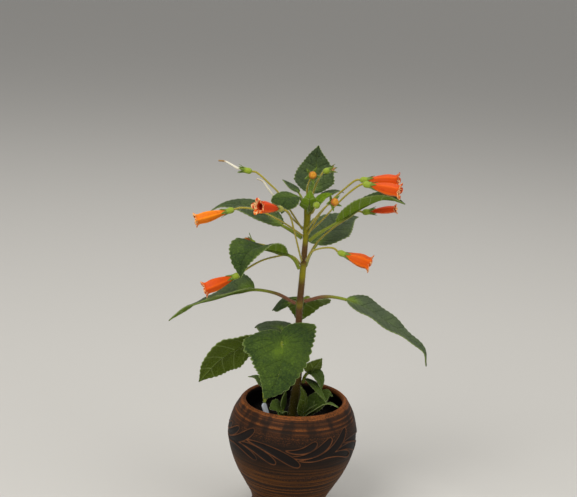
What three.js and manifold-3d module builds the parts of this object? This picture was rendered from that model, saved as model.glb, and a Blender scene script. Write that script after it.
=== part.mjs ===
// Potted kohleria spicata: a carved clay pot with soil, one leafy flowering stem, basal shoots
// and a blank plant label. Millimetres, +Z up, origin at the centre of the pot's underside,
// front (the side the big cordate leaf hangs on) towards -Y.

import * as THREE from 'three';
import { mergeVertices } from 'three/addons/utils/BufferGeometryUtils.js';
import Module from 'manifold-3d';

const wasm = await Module();
wasm.setup();

// Fits
const CLEARANCE = 0.3;

// Pot
const POT_SIDES = 30;
const POT_OUTSIDE = [
  [28.5, 0], [29.6, 2.5], [27.6, 8], [29, 15], [34.5, 25], [41.5, 38], [46.5, 52],
  [48.2, 64], [45.4, 78], [41.6, 85.5], [39.4, 88.8],
];
const POT_LIP = [[37.8, 90], [36.2, 89.2]];
const POT_INSIDE = [[36, 86], [40, 79.5], [42.6, 66], [39, 42], [22, 10]];
const POT_RIM_TILT = 0.02;
const CARVE_DEPTH = 1.1;
const CARVE_TURNS = [0, 94, 180, 266];
const CARVE_STATIONS = [0.34, 0.7, 0.94];
const MM_PER_DEGREE = (Math.PI * 47) / 180;

// Soil
const SOIL_TOP = 74;
const SOIL_CROWN = 1.4;
const ROOTED = 66;

// Foliage
const BLADE_THICKNESS = 0.9;
const VEIN_SLOPE = 0.55;
const TOOTH_DEPTH = 0.035;
const LEAF_STALK = [1.3, 1.1, 0.8];
const FLOWER_STALK = [0.65, 0.6, 0.75];
const BUD_STALK = 0.6;

// Colours
const COLOUR = {
  clay: 0x4a3026, soil: 0x120d0a, label: 0xe8ebee, stem: 0x7a4436, leaf: 0x4d7038, youngLeaf: 0x6c9a2c,
  calyx: 0x86a83a, corolla: 0xe2501c, orange: 0xf07a28, red: 0xc83018,
  bud: 0xb5622a, style: 0xeeead8,
};

const kohleria = new THREE.Group();
kohleria.name = 'kohleria_in_pot';

function vector([x, y, z]) {
  return new THREE.Vector3(x, y, z);
}

// A closed shape as a solid that can be joined and cut, and back again

function toSolid(geometry) {
  geometry.deleteAttribute('normal');
  geometry.deleteAttribute('uv');
  const merged = mergeVertices(geometry, 1e-4);
  const vertProperties = new Float32Array(merged.attributes.position.array);
  const triVerts = withoutSlivers(merged.index.array);
  return new wasm.Manifold(new wasm.Mesh({ numProp: 3, vertProperties, triVerts }));
}

function withoutSlivers(index) {
  const kept = [];
  for (let i = 0; i < index.length; i += 3) {
    const [a, b, c] = [index[i], index[i + 1], index[i + 2]];
    if (a !== b && b !== c && c !== a) kept.push(a, b, c);
  }
  return new Uint32Array(kept);
}

function toGeometry(solid) {
  const mesh = solid.getMesh();
  const positions = [];
  for (let i = 0; i < mesh.numVert; i += 1) {
    const at = i * mesh.numProp;
    positions.push(...mesh.vertProperties.slice(at, at + 3));
  }
  const geometry = new THREE.BufferGeometry();
  geometry.setAttribute('position', new THREE.Float32BufferAttribute(positions, 3));
  geometry.setIndex(Array.from(mesh.triVerts));
  geometry.computeVertexNormals();
  return geometry;
}

function addPiece(name, solid, colour, roughness = 0.7) {
  const material = new THREE.MeshStandardMaterial({ color: colour, roughness, metalness: 0 });
  const mesh = new THREE.Mesh(toGeometry(solid), material);
  mesh.name = name;
  kohleria.add(mesh);
  return mesh;
}

// Round rods that follow a curve, for stems, leaf stalks and flower stalks

function rod(points, radii, sides = 6, steps = 8) {
  const curve = new THREE.CatmullRomCurve3(points.map(vector), false, 'centripetal');
  const frames = curve.computeFrenetFrames(steps, false);
  const shape = new THREE.CylinderGeometry(1, 1, 1, sides, steps);
  const place = shape.attributes.position;
  for (let i = 0; i < place.count; i += 1) {
    const t = place.getY(i) + 0.5;
    const step = Math.round(t * steps);
    const radius = radiusAt(radii, t);
    const centre = curve.getPointAt(t);
    centre.addScaledVector(frames.binormals[step], place.getX(i) * radius);
    centre.addScaledVector(frames.normals[step], place.getZ(i) * radius);
    place.setXYZ(i, centre.x, centre.y, centre.z);
  }
  return toSolid(shape);
}

function radiusAt(radii, t) {
  const spot = t * (radii.length - 1);
  const before = Math.min(Math.floor(spot), radii.length - 2);
  return THREE.MathUtils.lerp(radii[before], radii[before + 1], spot - before);
}

// Rings of points joined into one closed shape, for corollas, calyxes, buds and styles' tips.
// A ring is [radius, height] all round, or [radius, height, radius, height] for lobe and gap.

function bell(rings, lobes = 5, pattern = [1, 0]) {
  const sides = lobes * pattern.length;
  const positions = [];
  for (const [radius, height, gapRadius = radius, gapHeight = height] of rings) {
    for (let i = 0; i < sides; i += 1) {
      const share = pattern[i % pattern.length];
      const angle = (i / sides) * Math.PI * 2;
      const r = THREE.MathUtils.lerp(gapRadius, radius, share);
      const z = THREE.MathUtils.lerp(gapHeight, height, share);
      positions.push(Math.cos(angle) * r, Math.sin(angle) * r, z);
    }
  }
  const first = positions.length / 3;
  positions.push(0, 0, rings[0][1], 0, 0, rings.at(-1)[1]);
  const index = [];
  for (let i = 0; i < sides; i += 1) {
    const next = (i + 1) % sides;
    index.push(first, next, i);
    for (let ring = 0; ring < rings.length - 1; ring += 1) {
      const low = ring * sides;
      const high = low + sides;
      index.push(low + i, low + next, high + next, low + i, high + next, high + i);
    }
    const last = (rings.length - 1) * sides;
    index.push(first + 1, last + i, last + next);
  }
  const shape = new THREE.BufferGeometry();
  shape.setAttribute('position', new THREE.Float32BufferAttribute(positions, 3));
  shape.setIndex(index);
  return shape;
}

function aimed(geometry, seat, mouth) {
  const direction = vector(mouth).sub(vector(seat)).normalize();
  const turn = new THREE.Quaternion().setFromUnitVectors(new THREE.Vector3(0, 0, 1), direction);
  const place = new THREE.Matrix4().compose(vector(seat), turn, new THREE.Vector3(1, 1, 1));
  return geometry.applyMatrix4(place);
}

// Leaves: a stalk and a toothed blade that bends along its rib

function ribFrame(rib, roll) {
  const curve = new THREE.CatmullRomCurve3(rib.map(vector), false, 'centripetal');
  const length = curve.getLength();
  const steps = 24;
  const ups = [];
  let up = new THREE.Vector3(0, 0, 1);
  for (let i = 0; i <= steps; i += 1) {
    const tangent = curve.getTangentAt(i / steps);
    up = up.clone().addScaledVector(tangent, -up.dot(tangent)).normalize();
    ups.push(up);
  }
  return (along) => {
    const t = THREE.MathUtils.clamp(along / length, 0, 1);
    const tangent = curve.getTangentAt(t);
    const centre = curve.getPointAt(t).addScaledVector(tangent, along - t * length);
    const spot = Math.min(Math.floor(t * steps), steps - 1);
    const lift = ups[spot].clone().lerp(ups[spot + 1], t * steps - spot);
    lift.addScaledVector(tangent, -lift.dot(tangent)).normalize();
    const turn = THREE.MathUtils.degToRad(THREE.MathUtils.lerp(roll[0], roll[1], t));
    lift.applyAxisAngle(tangent, turn);
    const side = tangent.clone().cross(lift);
    return { centre, lift, side, length };
  };
}

// Half an outline, from the stalk round the basal lobe to the tip, as across and along

function halfOutline(length, leaf) {
  const { width, lobe = 0.04, widest = 0.24, shoulder = 0.3, taper = 0.42 } = leaf;
  const half = width / 2;
  const back = lobe * length;
  const outline = new THREE.Path();
  outline.moveTo(0, 0);
  outline.bezierCurveTo(-0.04 * half, -1.5 * back, 0.5 * half, -1.6 * back, half, widest * length);
  outline.bezierCurveTo(half, (widest + shoulder) * length, taper * half, 0.74 * length, 0, length);
  return outline;
}

function bladeSurface(leaf) {
  const { rib, width, roll = [0, 0], fold = 12, arch = 10, opening = 0, wave = 0, skew = 0 } = leaf;
  const frame = ribFrame(rib, roll);
  const { length } = frame(0);
  const outline = halfOutline(length, leaf);
  return (u, column, reach = 0) => {
    const edge = outline.getPointAt(u);
    const q = edge.x < 0.001 ? 0 : column;
    const across = edge.x + reach * Math.min(1, (5 * edge.x) / width);
    const start = THREE.MathUtils.clamp(edge.y - VEIN_SLOPE * edge.x, 0, length);
    const along = THREE.MathUtils.lerp(start, edge.y, Math.abs(q)) + skew * edge.x * q * Math.abs(q);
    const place = frame(along);
    const lean = THREE.MathUtils.degToRad(fold - arch * Math.abs(q) - opening * u);
    const out = across * q;
    const ripple = wave * q * q * Math.sin(u * 19 + q * 2) * Math.sin(Math.PI * u);
    const rise = Math.abs(out) * Math.sin(lean) + ripple;
    const face = place.lift.clone().multiplyScalar(Math.cos(lean));
    face.addScaledVector(place.side, -Math.sign(q) * Math.sin(lean));
    place.centre.addScaledVector(place.side, out * Math.cos(lean)).addScaledVector(place.lift, rise);
    return { point: place.centre, face };
  };
}

function blade(leaf) {
  const { teeth, width, plain = false } = leaf;
  const at = bladeSurface(leaf);
  const positions = [];
  const index = [];
  const half = BLADE_THICKNESS / 2;

  // Every point stands twice, on the upper face at an even number and on the lower face after it
  function add(u, q, reach) {
    const { point, face } = at(u, q, reach);
    const number = positions.length / 3;
    for (const offset of [half, -half]) {
      positions.push(...point.clone().addScaledVector(face, offset).toArray());
    }
    return number;
  }

  function cover(a, b, c, flip) {
    if (flip) index.push(a, c, b, a + 1, b + 1, c + 1);
    else index.push(a, b, c, a + 1, c + 1, b + 1);
  }

  const rows = Array.from({ length: teeth + 1 }, (_, row) => row / teeth);
  const ribLine = rows.map((u) => add(u, 0, 0));
  for (const side of [1, -1]) {
    const flip = side < 0;
    const middle = plain ? ribLine : rows.map((u) => add(u, 0.55 * side, 0));
    const margin = rows.map((u) => add(u, side, 0));
    const peaks = rows.slice(0, -1).map((u) => add(u + 0.62 / teeth, side, TOOTH_DEPTH * width));
    for (let row = 0; row < teeth; row += 1) {
      if (!plain) {
        cover(ribLine[row], middle[row], middle[row + 1], flip);
        cover(ribLine[row], middle[row + 1], ribLine[row + 1], flip);
      }
      cover(middle[row], margin[row], peaks[row], flip);
      cover(middle[row], peaks[row], middle[row + 1], flip);
      cover(middle[row + 1], peaks[row], margin[row + 1], flip);
      for (const [from, to] of [[margin[row], peaks[row]], [peaks[row], margin[row + 1]]]) {
        if (flip) index.push(from, to + 1, from + 1, from, to, to + 1);
        else index.push(from, from + 1, to + 1, from, to + 1, to);
      }
    }
  }
  const shape = new THREE.BufferGeometry();
  shape.setAttribute('position', new THREE.Float32BufferAttribute(positions, 3));
  shape.setIndex(index);
  return toSolid(shape);
}

function leafSolid(leaf) {
  const { stalk, rib, roll = [0, 0], stalkRadii = LEAF_STALK, stalkSides = 5, stalkSteps = 5 } = leaf;
  const start = ribFrame(rib, roll);
  const under = (along) => {
    const place = start(along);
    return place.centre.addScaledVector(place.lift, -0.35).toArray();
  };
  const length = start(0).length;
  const route = [...stalk, under(0), under(length * 0.14), under(length * 0.24)];
  return blade(leaf).add(rod(route, stalkRadii, stalkSides, stalkSteps));
}

function joined(solids) {
  return solids.reduce((whole, next) => whole.add(next));
}

// Pot

function turned(profile, sides) {
  const points = profile.map(([radius, height]) => new THREE.Vector2(radius, height));
  return new THREE.LatheGeometry(points, sides).rotateX(Math.PI / 2);
}

// The hand-thrown rim is a little lower on the left, the foot is level
function rimTilt(geometry) {
  const place = geometry.attributes.position;
  for (let i = 0; i < place.count; i += 1) {
    const share = THREE.MathUtils.smoothstep(place.getZ(i), 60, 90);
    place.setZ(i, place.getZ(i) + share * POT_RIM_TILT * place.getX(i));
  }
  return geometry;
}

// How far out a profile of [across, height] points lies at a height
function acrossAt(profile, height) {
  const rising = [...profile].sort((a, b) => a[1] - b[1]);
  const above = rising.findIndex(([, z]) => z >= height);
  const [low, high] = [rising[above - 1], rising[above]];
  return THREE.MathUtils.mapLinear(height, low[1], high[1], low[0], high[0]);
}

// One carved lobe: a teardrop from its thin root to its round end, as angle in degrees round the
// pot and height. It is wrapped on the belly, in strips across the lobe, as a cutter of even depth.
function carvedLobe({ root, bend, end, width }, turn) {
  const spine = new THREE.QuadraticBezierCurve(
    new THREE.Vector2(...root), new THREE.Vector2(...bend), new THREE.Vector2(...end),
  );
  const beside = (t, side) => {
    const centre = spine.getPoint(t);
    const tangent = spine.getTangent(t);
    tangent.x *= MM_PER_DEGREE;
    tangent.normalize();
    const half = side * width * 0.62 * t ** 0.7 * Math.sqrt(1 - t ** 8);
    return [centre.x + (half * tangent.y) / MM_PER_DEGREE, centre.y - half * tangent.x];
  };
  const pairs = CARVE_STATIONS.flatMap((t) => [beside(t, 1), beside(t, -1)]);
  const edge = [root, ...pairs, end];
  const positions = [];
  for (const lift of [-CARVE_DEPTH, 1.5]) {
    for (const [degrees, height] of edge) {
      const angle = THREE.MathUtils.degToRad(degrees + turn);
      const radius = acrossAt(POT_OUTSIDE, height) + lift;
      positions.push(radius * Math.cos(angle), radius * Math.sin(angle), height);
    }
  }
  const last = edge.length - 1;
  const strips = [[0, 1, 2], [last, last - 1, last - 2]];
  for (let i = 1; i < last - 2; i += 2) strips.push([i, i + 2, i + 1], [i + 2, i + 3, i + 1]);
  const right = [0, ...CARVE_STATIONS.map((_, i) => 2 * i + 1), last];
  const left = [last, ...CARVE_STATIONS.map((_, i) => 2 * i + 2).reverse(), 0];
  const index = strips.flatMap(([i, j, k]) => [i, k, j, i + last + 1, j + last + 1, k + last + 1]);
  for (const side of [right, left]) {
    for (let i = 0; i < side.length - 1; i += 1) {
      const [from, to] = [side[i], side[i + 1]];
      index.push(from, to, to + last + 1, from, to + last + 1, from + last + 1);
    }
  }
  const shape = new THREE.BufferGeometry();
  shape.setAttribute('position', new THREE.Float32BufferAttribute(positions, 3));
  shape.setIndex(index);
  return toSolid(shape);
}

// Carved spray, repeated round the belly: angle in degrees from the front and height of each
// lobe's root, bend and end, and the lobe's width in millimetres
const CARVED_LOBES = [
  { root: [-65, 61.3], bend: [-50, 65], end: [-32.5, 56.8], width: 4.8 },
  { root: [-52, 64.6], bend: [-34, 68], end: [-14.5, 56.8], width: 5.8 },
  { root: [-43, 69], bend: [-17, 70], end: [6.5, 56], width: 6.6 },
  { root: [-5, 67.6], bend: [10, 65.5], end: [21, 72.8], width: 4.8 },
  { root: [0, 63.2], bend: [18, 61.5], end: [36.5, 74.2], width: 5.4 },
  { root: [7, 60.5], bend: [34, 59.5], end: [56, 77.8], width: 6 },
];

function potSolid() {
  const profile = [[0, 0], ...POT_OUTSIDE, ...POT_LIP, ...POT_INSIDE, [0, POT_INSIDE.at(-1)[1]]];
  let pot = toSolid(rimTilt(turned(profile, POT_SIDES)));
  for (const turn of CARVE_TURNS) {
    for (const lobe of CARVED_LOBES) pot = pot.subtract(carvedLobe(lobe, turn - 90));
  }
  return pot;
}

// Soil: fills the pot, with a low mound and plain holes for what stands in it
function soilSolid(holes) {
  const wall = POT_INSIDE.filter(([, height]) => height < SOIL_TOP - 1).reverse();
  const floor = POT_INSIDE.at(-1)[1] + CLEARANCE;
  const profile = [
    [0, floor], [wall[0][0] - 2 * CLEARANCE, floor],
    ...wall.slice(1).map(([radius, height]) => [radius - CLEARANCE, height]),
    [acrossAt(POT_INSIDE, SOIL_TOP - 1) - 1.5 * CLEARANCE, SOIL_TOP - 1],
    [34, SOIL_TOP], [16, SOIL_TOP + SOIL_CROWN], [0, SOIL_TOP + SOIL_CROWN],
  ];
  return holes.reduce((soil, hole) => soil.subtract(hole), toSolid(turned(profile, 24)));
}

function stemHole([[x, y, z]], radius) {
  const wide = radius + CLEARANCE;
  return rod([[x, y, z - CLEARANCE], [x, y, SOIL_TOP + 4]], [wide, wide], 8, 1);
}

// Main stem, with its thicker nodes

const STEM_ROUTE = [
  [-0.4, 0, 62], [-0.3, 0, 79], [1, 0, 98], [1.8, 0, 108], [0.8, 0, 130], [-0.2, 0, 150], [-0.2, 0, 165],
  [0.2, 0, 178], [0.6, 0, 191], [1.1, 0, 212], [1.4, 0, 228], [1, 0, 239],
];
const STEM_RADII = [4.2, 4.1, 3.3, 2.7, 2.5, 2.5, 2.4, 2.4, 2.3, 2.2, 2, 2.3, 2.8];
const STEM_LINE = STEM_ROUTE.map(([x, , z]) => [x, z]);

// A stalk's route with its first point set right beside the main stem, at its own height
function besideStem([first, next, ...rest], radius) {
  const foot = vector(first);
  const centre = new THREE.Vector3(acrossAt(STEM_LINE, foot.z), 0, foot.z);
  const share = THREE.MathUtils.inverseLerp(STEM_ROUTE[0][2], STEM_ROUTE.at(-1)[2], foot.z);
  const climb = vector(next).sub(foot).normalize().z;
  const apart = radiusAt(STEM_RADII, share) + CLEARANCE + radius * Math.abs(climb);
  centre.addScaledVector(foot.sub(centre).normalize(), apart);
  return [centre.toArray(), next, ...rest];
}

// Leaves. stalk: from the stem to the blade; rib: from the blade's base to its tip; roll, fold and
// arch in degrees; opening: how much of the fold is gone at the tip; lobe: how far the basal lobes
// reach back, widest: where the blade is widest, and shoulder: how far it stays wide, as shares of
// the rib; taper: width before the tip; skew: how far the left half is set forward of the right
const LEAVES = {
  leaf_front_cordate: {
    stalk: [[-1, -3.4, 127], [-6.5, -11, 136]],
    rib: [
      [-11.8, -21, 139.5], [-10.8, -27, 134.3], [-11.2, -32.5, 128], [-13, -38, 118.5],
      [-16.6, -41.5, 111.5], [-21.6, -43, 104.4],
    ],
    width: 54, teeth: 12, lobe: 0.23, widest: -0.25, taper: 0.46, fold: 16, arch: 26, wave: 1.2, skew: 0.28,
  },
  leaf_lower_left: {
    stalk: [[-2.8, 1.2, 129], [-13, 6, 131]],
    rib: [[-26, 9, 130.5], [-40, 8, 125.5], [-57, 5, 115], [-72, 2, 97.5]],
    width: 34, teeth: 9, widest: 0.42, taper: 0.66, fold: 8, arch: 14, roll: [55, 60], wave: 1,
  },
  leaf_lower_back: {
    stalk: [[0.2, 3.2, 131], [-3.5, 8, 136.5]],
    rib: [[-11, 11, 138], [-19, 19, 140], [-27, 25, 138.5], [-33, 29, 133.5]],
    width: 32, teeth: 7, lobe: 0.08, fold: 10, arch: 16,
  },
  leaf_middle_left: {
    stalk: [[-3, 0, 163], [-18, -1, 170]],
    rib: [[-34.5, -2, 172.4], [-47, -3, 170], [-60, -4, 165], [-80, -6, 158], [-95, -8, 147]],
    width: 38, teeth: 10, lobe: 0.02, widest: 0.12, shoulder: 0.1, taper: 0.44, fold: 46, arch: 12,
    opening: 44, roll: [-8, 31], wave: 0.8,
  },
  leaf_middle_right: {
    stalk: [[2.8, 0, 165], [18, -2, 170]],
    rib: [[34, -3, 169], [48, -5, 164], [62, -7, 156], [78, -9, 146], [91.5, -11, 136], [94.5, -12, 124.5]],
    width: 30, teeth: 12, lobe: 0.01, widest: 0.16, taper: 0.36, fold: 14, arch: 8, roll: [9, 3], wave: 0.8,
  },
  leaf_middle_back: {
    stalk: [[0.6, 3.2, 163], [5, 11, 165]],
    rib: [[7, 18, 162], [6, 27, 159], [3, 34, 151], [0, 37, 137]],
    width: 34, teeth: 7, lobe: 0.1, fold: 8, arch: 10, wave: 0.8,
  },
  leaf_middle_back_left: {
    stalk: [[-1.9, 2.8, 162], [-5.5, 8, 161.5]],
    rib: [[-8.5, 11, 159.5], [-12.5, 13.5, 158.5], [-17, 16, 155.5], [-20.3, 18, 151]],
    width: 15.5, teeth: 6, lobe: 0.08, widest: 0.4, fold: 6, roll: [-32, -24], plain: true,
  },
  leaf_upper_middle_left: {
    stalk: [[-2, -1.8, 190], [-5.6, -4.6, 196.5]],
    rib: [
      [-10.2, -7, 200.9], [-18, -10, 203.6], [-27, -14, 206], [-37, -20, 206], [-42.5, -27.5, 199.5],
      [-43, -33, 189],
    ],
    width: 40, teeth: 10, lobe: -0.03, widest: 0.52, shoulder: 0.06, taper: 0.4, fold: 24, arch: 10,
    roll: [34, -20],
  },
  leaf_upper_middle_right: {
    stalk: [[2.2, 2.4, 191], [5, 12, 197]],
    rib: [[11, 22, 205], [19, 33, 213], [30, 43, 219], [41, 50, 219.5]],
    width: 40, teeth: 9, lobe: 0.08, fold: 12, arch: 10,
  },
  leaf_upper_left: {
    stalk: [[-1.6, 0.8, 212], [-9, 4, 216]],
    rib: [[-18, 8, 220], [-32, 13, 227], [-47, 18, 230.4], [-60, 21, 229], [-70, 23, 223.4]],
    width: 31, teeth: 9, fold: 8, arch: 6, roll: [-7, -7],
  },
  leaf_upper_right: {
    stalk: [[3.6, -1, 211], [10, -3.5, 217]],
    rib: [[24, -8, 228], [33.5, -10, 235.6], [44, -12, 242.4], [56, -15, 247.6], [69, -18, 245.4]],
    width: 25, teeth: 10, widest: 0.36, taper: 0.5, fold: 34, arch: 6, roll: [-13, 4],
  },
  leaf_crown_back: {
    stalk: [[1.4, 2.2, 237], [2.4, 5.5, 240]],
    rib: [[4, 9, 244], [5, 13, 252], [6, 15, 262], [6, 14.5, 271], [6.5, 13, 278]],
    width: 29, teeth: 9, lobe: 0.02, fold: 10, arch: 6,
  },
  leaf_crown_front_left: {
    stalk: [[-0.8, -0.9, 237.5], [-2.8, -3, 240.5]],
    rib: [[-5.6, -5.2, 243], [-11, -9.5, 244], [-15, -14, 240.5], [-17.2, -17.2, 233]],
    width: 22, teeth: 6, widest: 0.55, taper: 0.5, fold: 14, arch: 8, roll: [-8, -8],
  },
  leaf_crown_left: {
    stalk: [[-0.4, 1.4, 234], [-2.4, 2.8, 239]],
    rib: [[-6, 4.5, 245], [-12, 7, 248.5], [-18, 9, 252.5]],
    stalkRadii: [0.9, 0.8, 0.6], width: 11, teeth: 5, fold: 14, plain: true,
  },
  leaf_crown_right: {
    stalk: [[3.3, 0.8, 235.5], [6, 2, 238.5]],
    rib: [[10, 5, 241], [16, 8.5, 244.5], [22, 12, 246], [27, 14, 244.5]],
    stalkRadii: [0.9, 0.8, 0.6], width: 11, teeth: 5, fold: 12, plain: true,
  },
  leaf_crown_young_upright: {
    stalk: [[1.3, -2.5, 231.5], [1.5, -5, 233.5]],
    rib: [[2, -8.5, 235], [2, -14, 240], [2, -16, 245.5], [2, -15, 251]],
    stalkRadii: [1, 0.9, 0.6], width: 13.5, teeth: 5, fold: 14, arch: 4, plain: true,
  },
  leaf_crown_young_right: {
    stalk: [[3.6, -1, 231.5], [4.6, -2.2, 233.8]],
    rib: [[5.4, -3.4, 237], [9.4, -5, 242], [14, -6, 245.8], [18.2, -6.5, 247.2]],
    stalkRadii: [1, 0.9, 0.6], width: 11, teeth: 5, fold: 12, roll: [38, 38], plain: true,
  },
};
const YOUNG = new Set(['leaf_crown_young_upright', 'leaf_crown_young_right']);

// Basal shoots: a short stem with small leaves grown out of it
const SHOOTS = {
  shoot_right: {
    stem: { route: [[5.6, -0.4, 102.4], [6.3, -0.6, 106], [8, -1.2, 110]], radii: [1.4, 1.1] },
    leaves: [
      {
        stalk: [[7, -1, 108.5]], rib: [[9.5, -2, 111], [13, -3, 116], [18.5, -4, 123.5]],
        width: 17, teeth: 4, roll: [-38, -38],
      },
      {
        stalk: [[7.5, -1, 109]], rib: [[10, -1.5, 111], [14.5, -3.5, 111.5], [18, -6, 107], [19.5, -8, 100]],
        width: 14, teeth: 4,
      },
      {
        stalk: [[5.5, -1.5, 105]], rib: [[8, -4, 106.5], [13, -8, 104.5], [18, -11.5, 99.5], [24, -15, 93]],
        width: 7.5, teeth: 4,
      },
    ],
  },
  shoot_front: {
    stem: { route: [[6, -6, ROOTED], [6, -6, 75], [6.5, -6.5, 80]], radii: [1.5, 1.2] },
    leaves: [
      {
        stalk: [[6, -6, 77]], rib: [[5.5, -8, 80], [7, -9.5, 89], [6.5, -10, 97], [3.5, -9, 103]],
        width: 10, teeth: 4, fold: 22,
      },
      { stalk: [[6, -6, 78]], rib: [[9, -7, 82], [12.5, -8, 86], [17, -8.5, 89]], width: 6, teeth: 3 },
      {
        stalk: [[6, -6, 76]], rib: [[9, -9, 79], [16, -14, 86], [25, -20, 94.5], [32, -25, 94]],
        width: 9, teeth: 5, fold: 20,
      },
      { stalk: [[6, -6, 77]], rib: [[7, -3, 80], [11, 2, 87], [15, 7, 90]], width: 13, teeth: 4 },
      {
        stalk: [[6, -6, 78]], rib: [[10, -3, 81], [18, 1, 89], [25, 4, 93.5], [29, 6, 90]],
        width: 14, teeth: 4, roll: [30, 40],
      },
    ],
  },
  shoot_left: {
    stem: { route: [[-8, -5, ROOTED], [-8, -5, 75], [-8, -5, 79]], radii: [1.4, 1.1] },
    leaves: [
      {
        stalk: [[-8, -5, 77]], rib: [[-9, -6, 80], [-13, -8.5, 85.5], [-18, -12, 84.5]],
        width: 14, teeth: 4, roll: [-40, -40],
      },
      { stalk: [[-8, -5, 77]], rib: [[-8, -8, 79], [-8, -12, 83], [-9, -15.5, 83]], width: 7, teeth: 3 },
      {
        stalk: [[-8, -5, 78]], rib: [[-8, -4, 82], [-8, -4, 90], [-6.5, -5, 98]],
        width: 7, teeth: 4, fold: 16,
      },
    ],
  },
  shoot_back_left: {
    stem: { route: [[-22, 10, ROOTED], [-22, 10, 75], [-23, 12, 86]], radii: [0.9, 0.7] },
    leaves: [
      { stalk: [[-23, 11, 84]], rib: [[-24, 14, 92], [-29, 17, 98], [-36, 20, 97]], width: 8, teeth: 4 },
      { stalk: [[-22, 10, 81]], rib: [[-20, 12, 86], [-17, 15, 91], [-13, 17, 92]], width: 8, teeth: 4 },
    ],
  },
};

// Blooms: the flower stalk's route up to the ovary, and where the corolla starts and ends
const BLOOMS = {
  bloom_right_upper: {
    stalk: [[3.2, -3, 216], [9.5, -6.5, 231], [17, -9, 242], [26, -13, 252.5], [34, -16, 260]],
    seat: [41, -17, 260.4], mouth: [63, -22, 262], diameter: 9.2,
  },
  bloom_right_lower: {
    stalk: [[5, -2, 218], [12, -7, 228], [20, -13, 239.5], [28, -21, 250.5], [35.2, -26.4, 258]],
    seat: [42.4, -29, 259.2], mouth: [63.2, -36, 257.2], diameter: 9.2,
  },
  bloom_left: {
    stalk: [[-2.2, -2, 214.5], [-12, -9, 223], [-24, -13, 230], [-34, -12, 233.5], [-46, -9.5, 234]],
    seat: [-55.5, -9, 230.8], mouth: [-78, -14, 224.2], diameter: 8.4, colour: 'orange',
  },
  bloom_front_left: {
    stalk: [[-1.4, -3.4, 196], [-3.4, -11, 206], [-7.6, -15, 221], [-10.5, -18, 231], [-13, -22, 236]],
    seat: [-19.6, -27, 238.6], mouth: [-33.2, -44.4, 243], diameter: 8.8, colour: 'red',
  },
  bloom_right_slim: {
    stalk: [[3, 2.6, 194], [8.5, 8, 206], [21, 10, 219], [32, 8, 228], [38, 6.5, 233]],
    seat: [45.6, 5, 233.4], mouth: [65, 2, 237.2], diameter: 5.6, colour: 'red',
  },
  bloom_right_low: {
    stalk: [[2.4, -2.6, 196], [6, -6, 204], [13, -8, 207.6], [21.5, -8.2, 208]],
    seat: [29.2, -9, 204.2], mouth: [48.2, -13, 199], diameter: 10.4, colour: 'orange',
  },
  bloom_left_low: {
    stalk: [
      [-2.6, 0.8, 193.5], [-6, 2, 197], [-11, 3, 198.4], [-19, 0.5, 197.4], [-30, -8, 195.6],
      [-40.5, -14, 190],
    ],
    seat: [-48.7, -15, 184.5], mouth: [-69.4, -20, 175.6], diameter: 9.8,
  },
};

// Buds: a round coloured bud held by its sepals
const BUDS = {
  bud_crown: {
    stalk: [[1.2, -1.2, 237], [0.4, -3.2, 242], [0, -6, 250], [1.5, -8.5, 257]],
    seat: [2.6, -9.5, 260], tip: [3.2, -13, 261],
  },
  bud_right: {
    stalk: [[1.8, -3.8, 220], [7.5, -12, 231], [12.5, -20, 239.5]],
    seat: [17.6, -26, 245], tip: [19.2, -29, 246],
  },
  bud_left_back: {
    stalk: [[-2.2, 2.8, 192], [-12, 8, 198.4], [-25, 11, 202]],
    seat: [-38.2, 12, 204], tip: [-43.2, 12, 205],
  },
};

// Young fruits: an ovary and calyx, two of them with the old style still on
const FRUITS = {
  fruit_left: {
    stalk: [
      [-2.8, -1, 219], [-12, -3, 234], [-21, -3, 246], [-27, -2, 251], [-33, -1, 256],
      [-37.4, 0, 258.6],
    ],
    seat: [-44.6, 0, 259.4], tip: [-50.5, 0, 260.3],
    style: [[-49.5, 0, 260.2], [-54.6, 0, 262.8], [-59.2, 0, 264.9], [-64, 0, 265.2]],
  },
  fruit_left_inner: {
    stalk: [[-2, 2.2, 219], [-8, 5, 224], [-14, 7, 230]],
    seat: [-20, 8, 236], tip: [-24, 8, 241],
    style: [[-24.5, 8, 241.4], [-28.4, 8, 246], [-32, 8, 250.6], [-36.4, 8, 252.2]],
  },
  fruit_crown: {
    stalk: [[2, -0.6, 238], [4.6, -1.6, 246], [7, -3, 255], [9.4, -4, 260]],
    seat: [14.8, -5.2, 263.8], tip: [19.6, -7, 265.8],
  },
};

// The green bud at the crown, and the blank label that leans in the soil
const GREEN_BUD = {
  stalk: [[3.1, -2.6, 230.4], [5, -8, 233.5]], seat: [6.6, -14.4, 239.4], tip: [6.9, -16, 240],
};
const LABEL = { width: 4.2, thickness: 1.2, length: 42, top: [-22.5, -24, 93.5], lean: 19, turn: 55 };

function calyxSolid(seat, mouth, scale) {
  const rings = [
    [0.9, -6], [2.6, -4.6], [3.1, -1.6], [3.3, 1.2, 3.1, 0.9], [4.5, 5.6, 3.05, 1.1],
    [3.3, 1.6, 2.75, 0.8], [2.5, -0.3],
  ].map((ring) => ring.map((value) => value * scale));
  return toSolid(aimed(bell(rings), seat, mouth));
}

function heldBy(stalk, seat, mouth, scale = 0.82) {
  const direction = vector(mouth).sub(vector(seat)).normalize();
  const ovary = vector(seat).addScaledVector(direction, -5.4 * scale);
  const foot = vector(seat).addScaledVector(direction, -4 * scale);
  const route = [...stalk, ovary.toArray(), foot.toArray()];
  return rod(route, FLOWER_STALK, 5, 8).add(calyxSolid(seat, mouth, scale));
}

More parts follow.
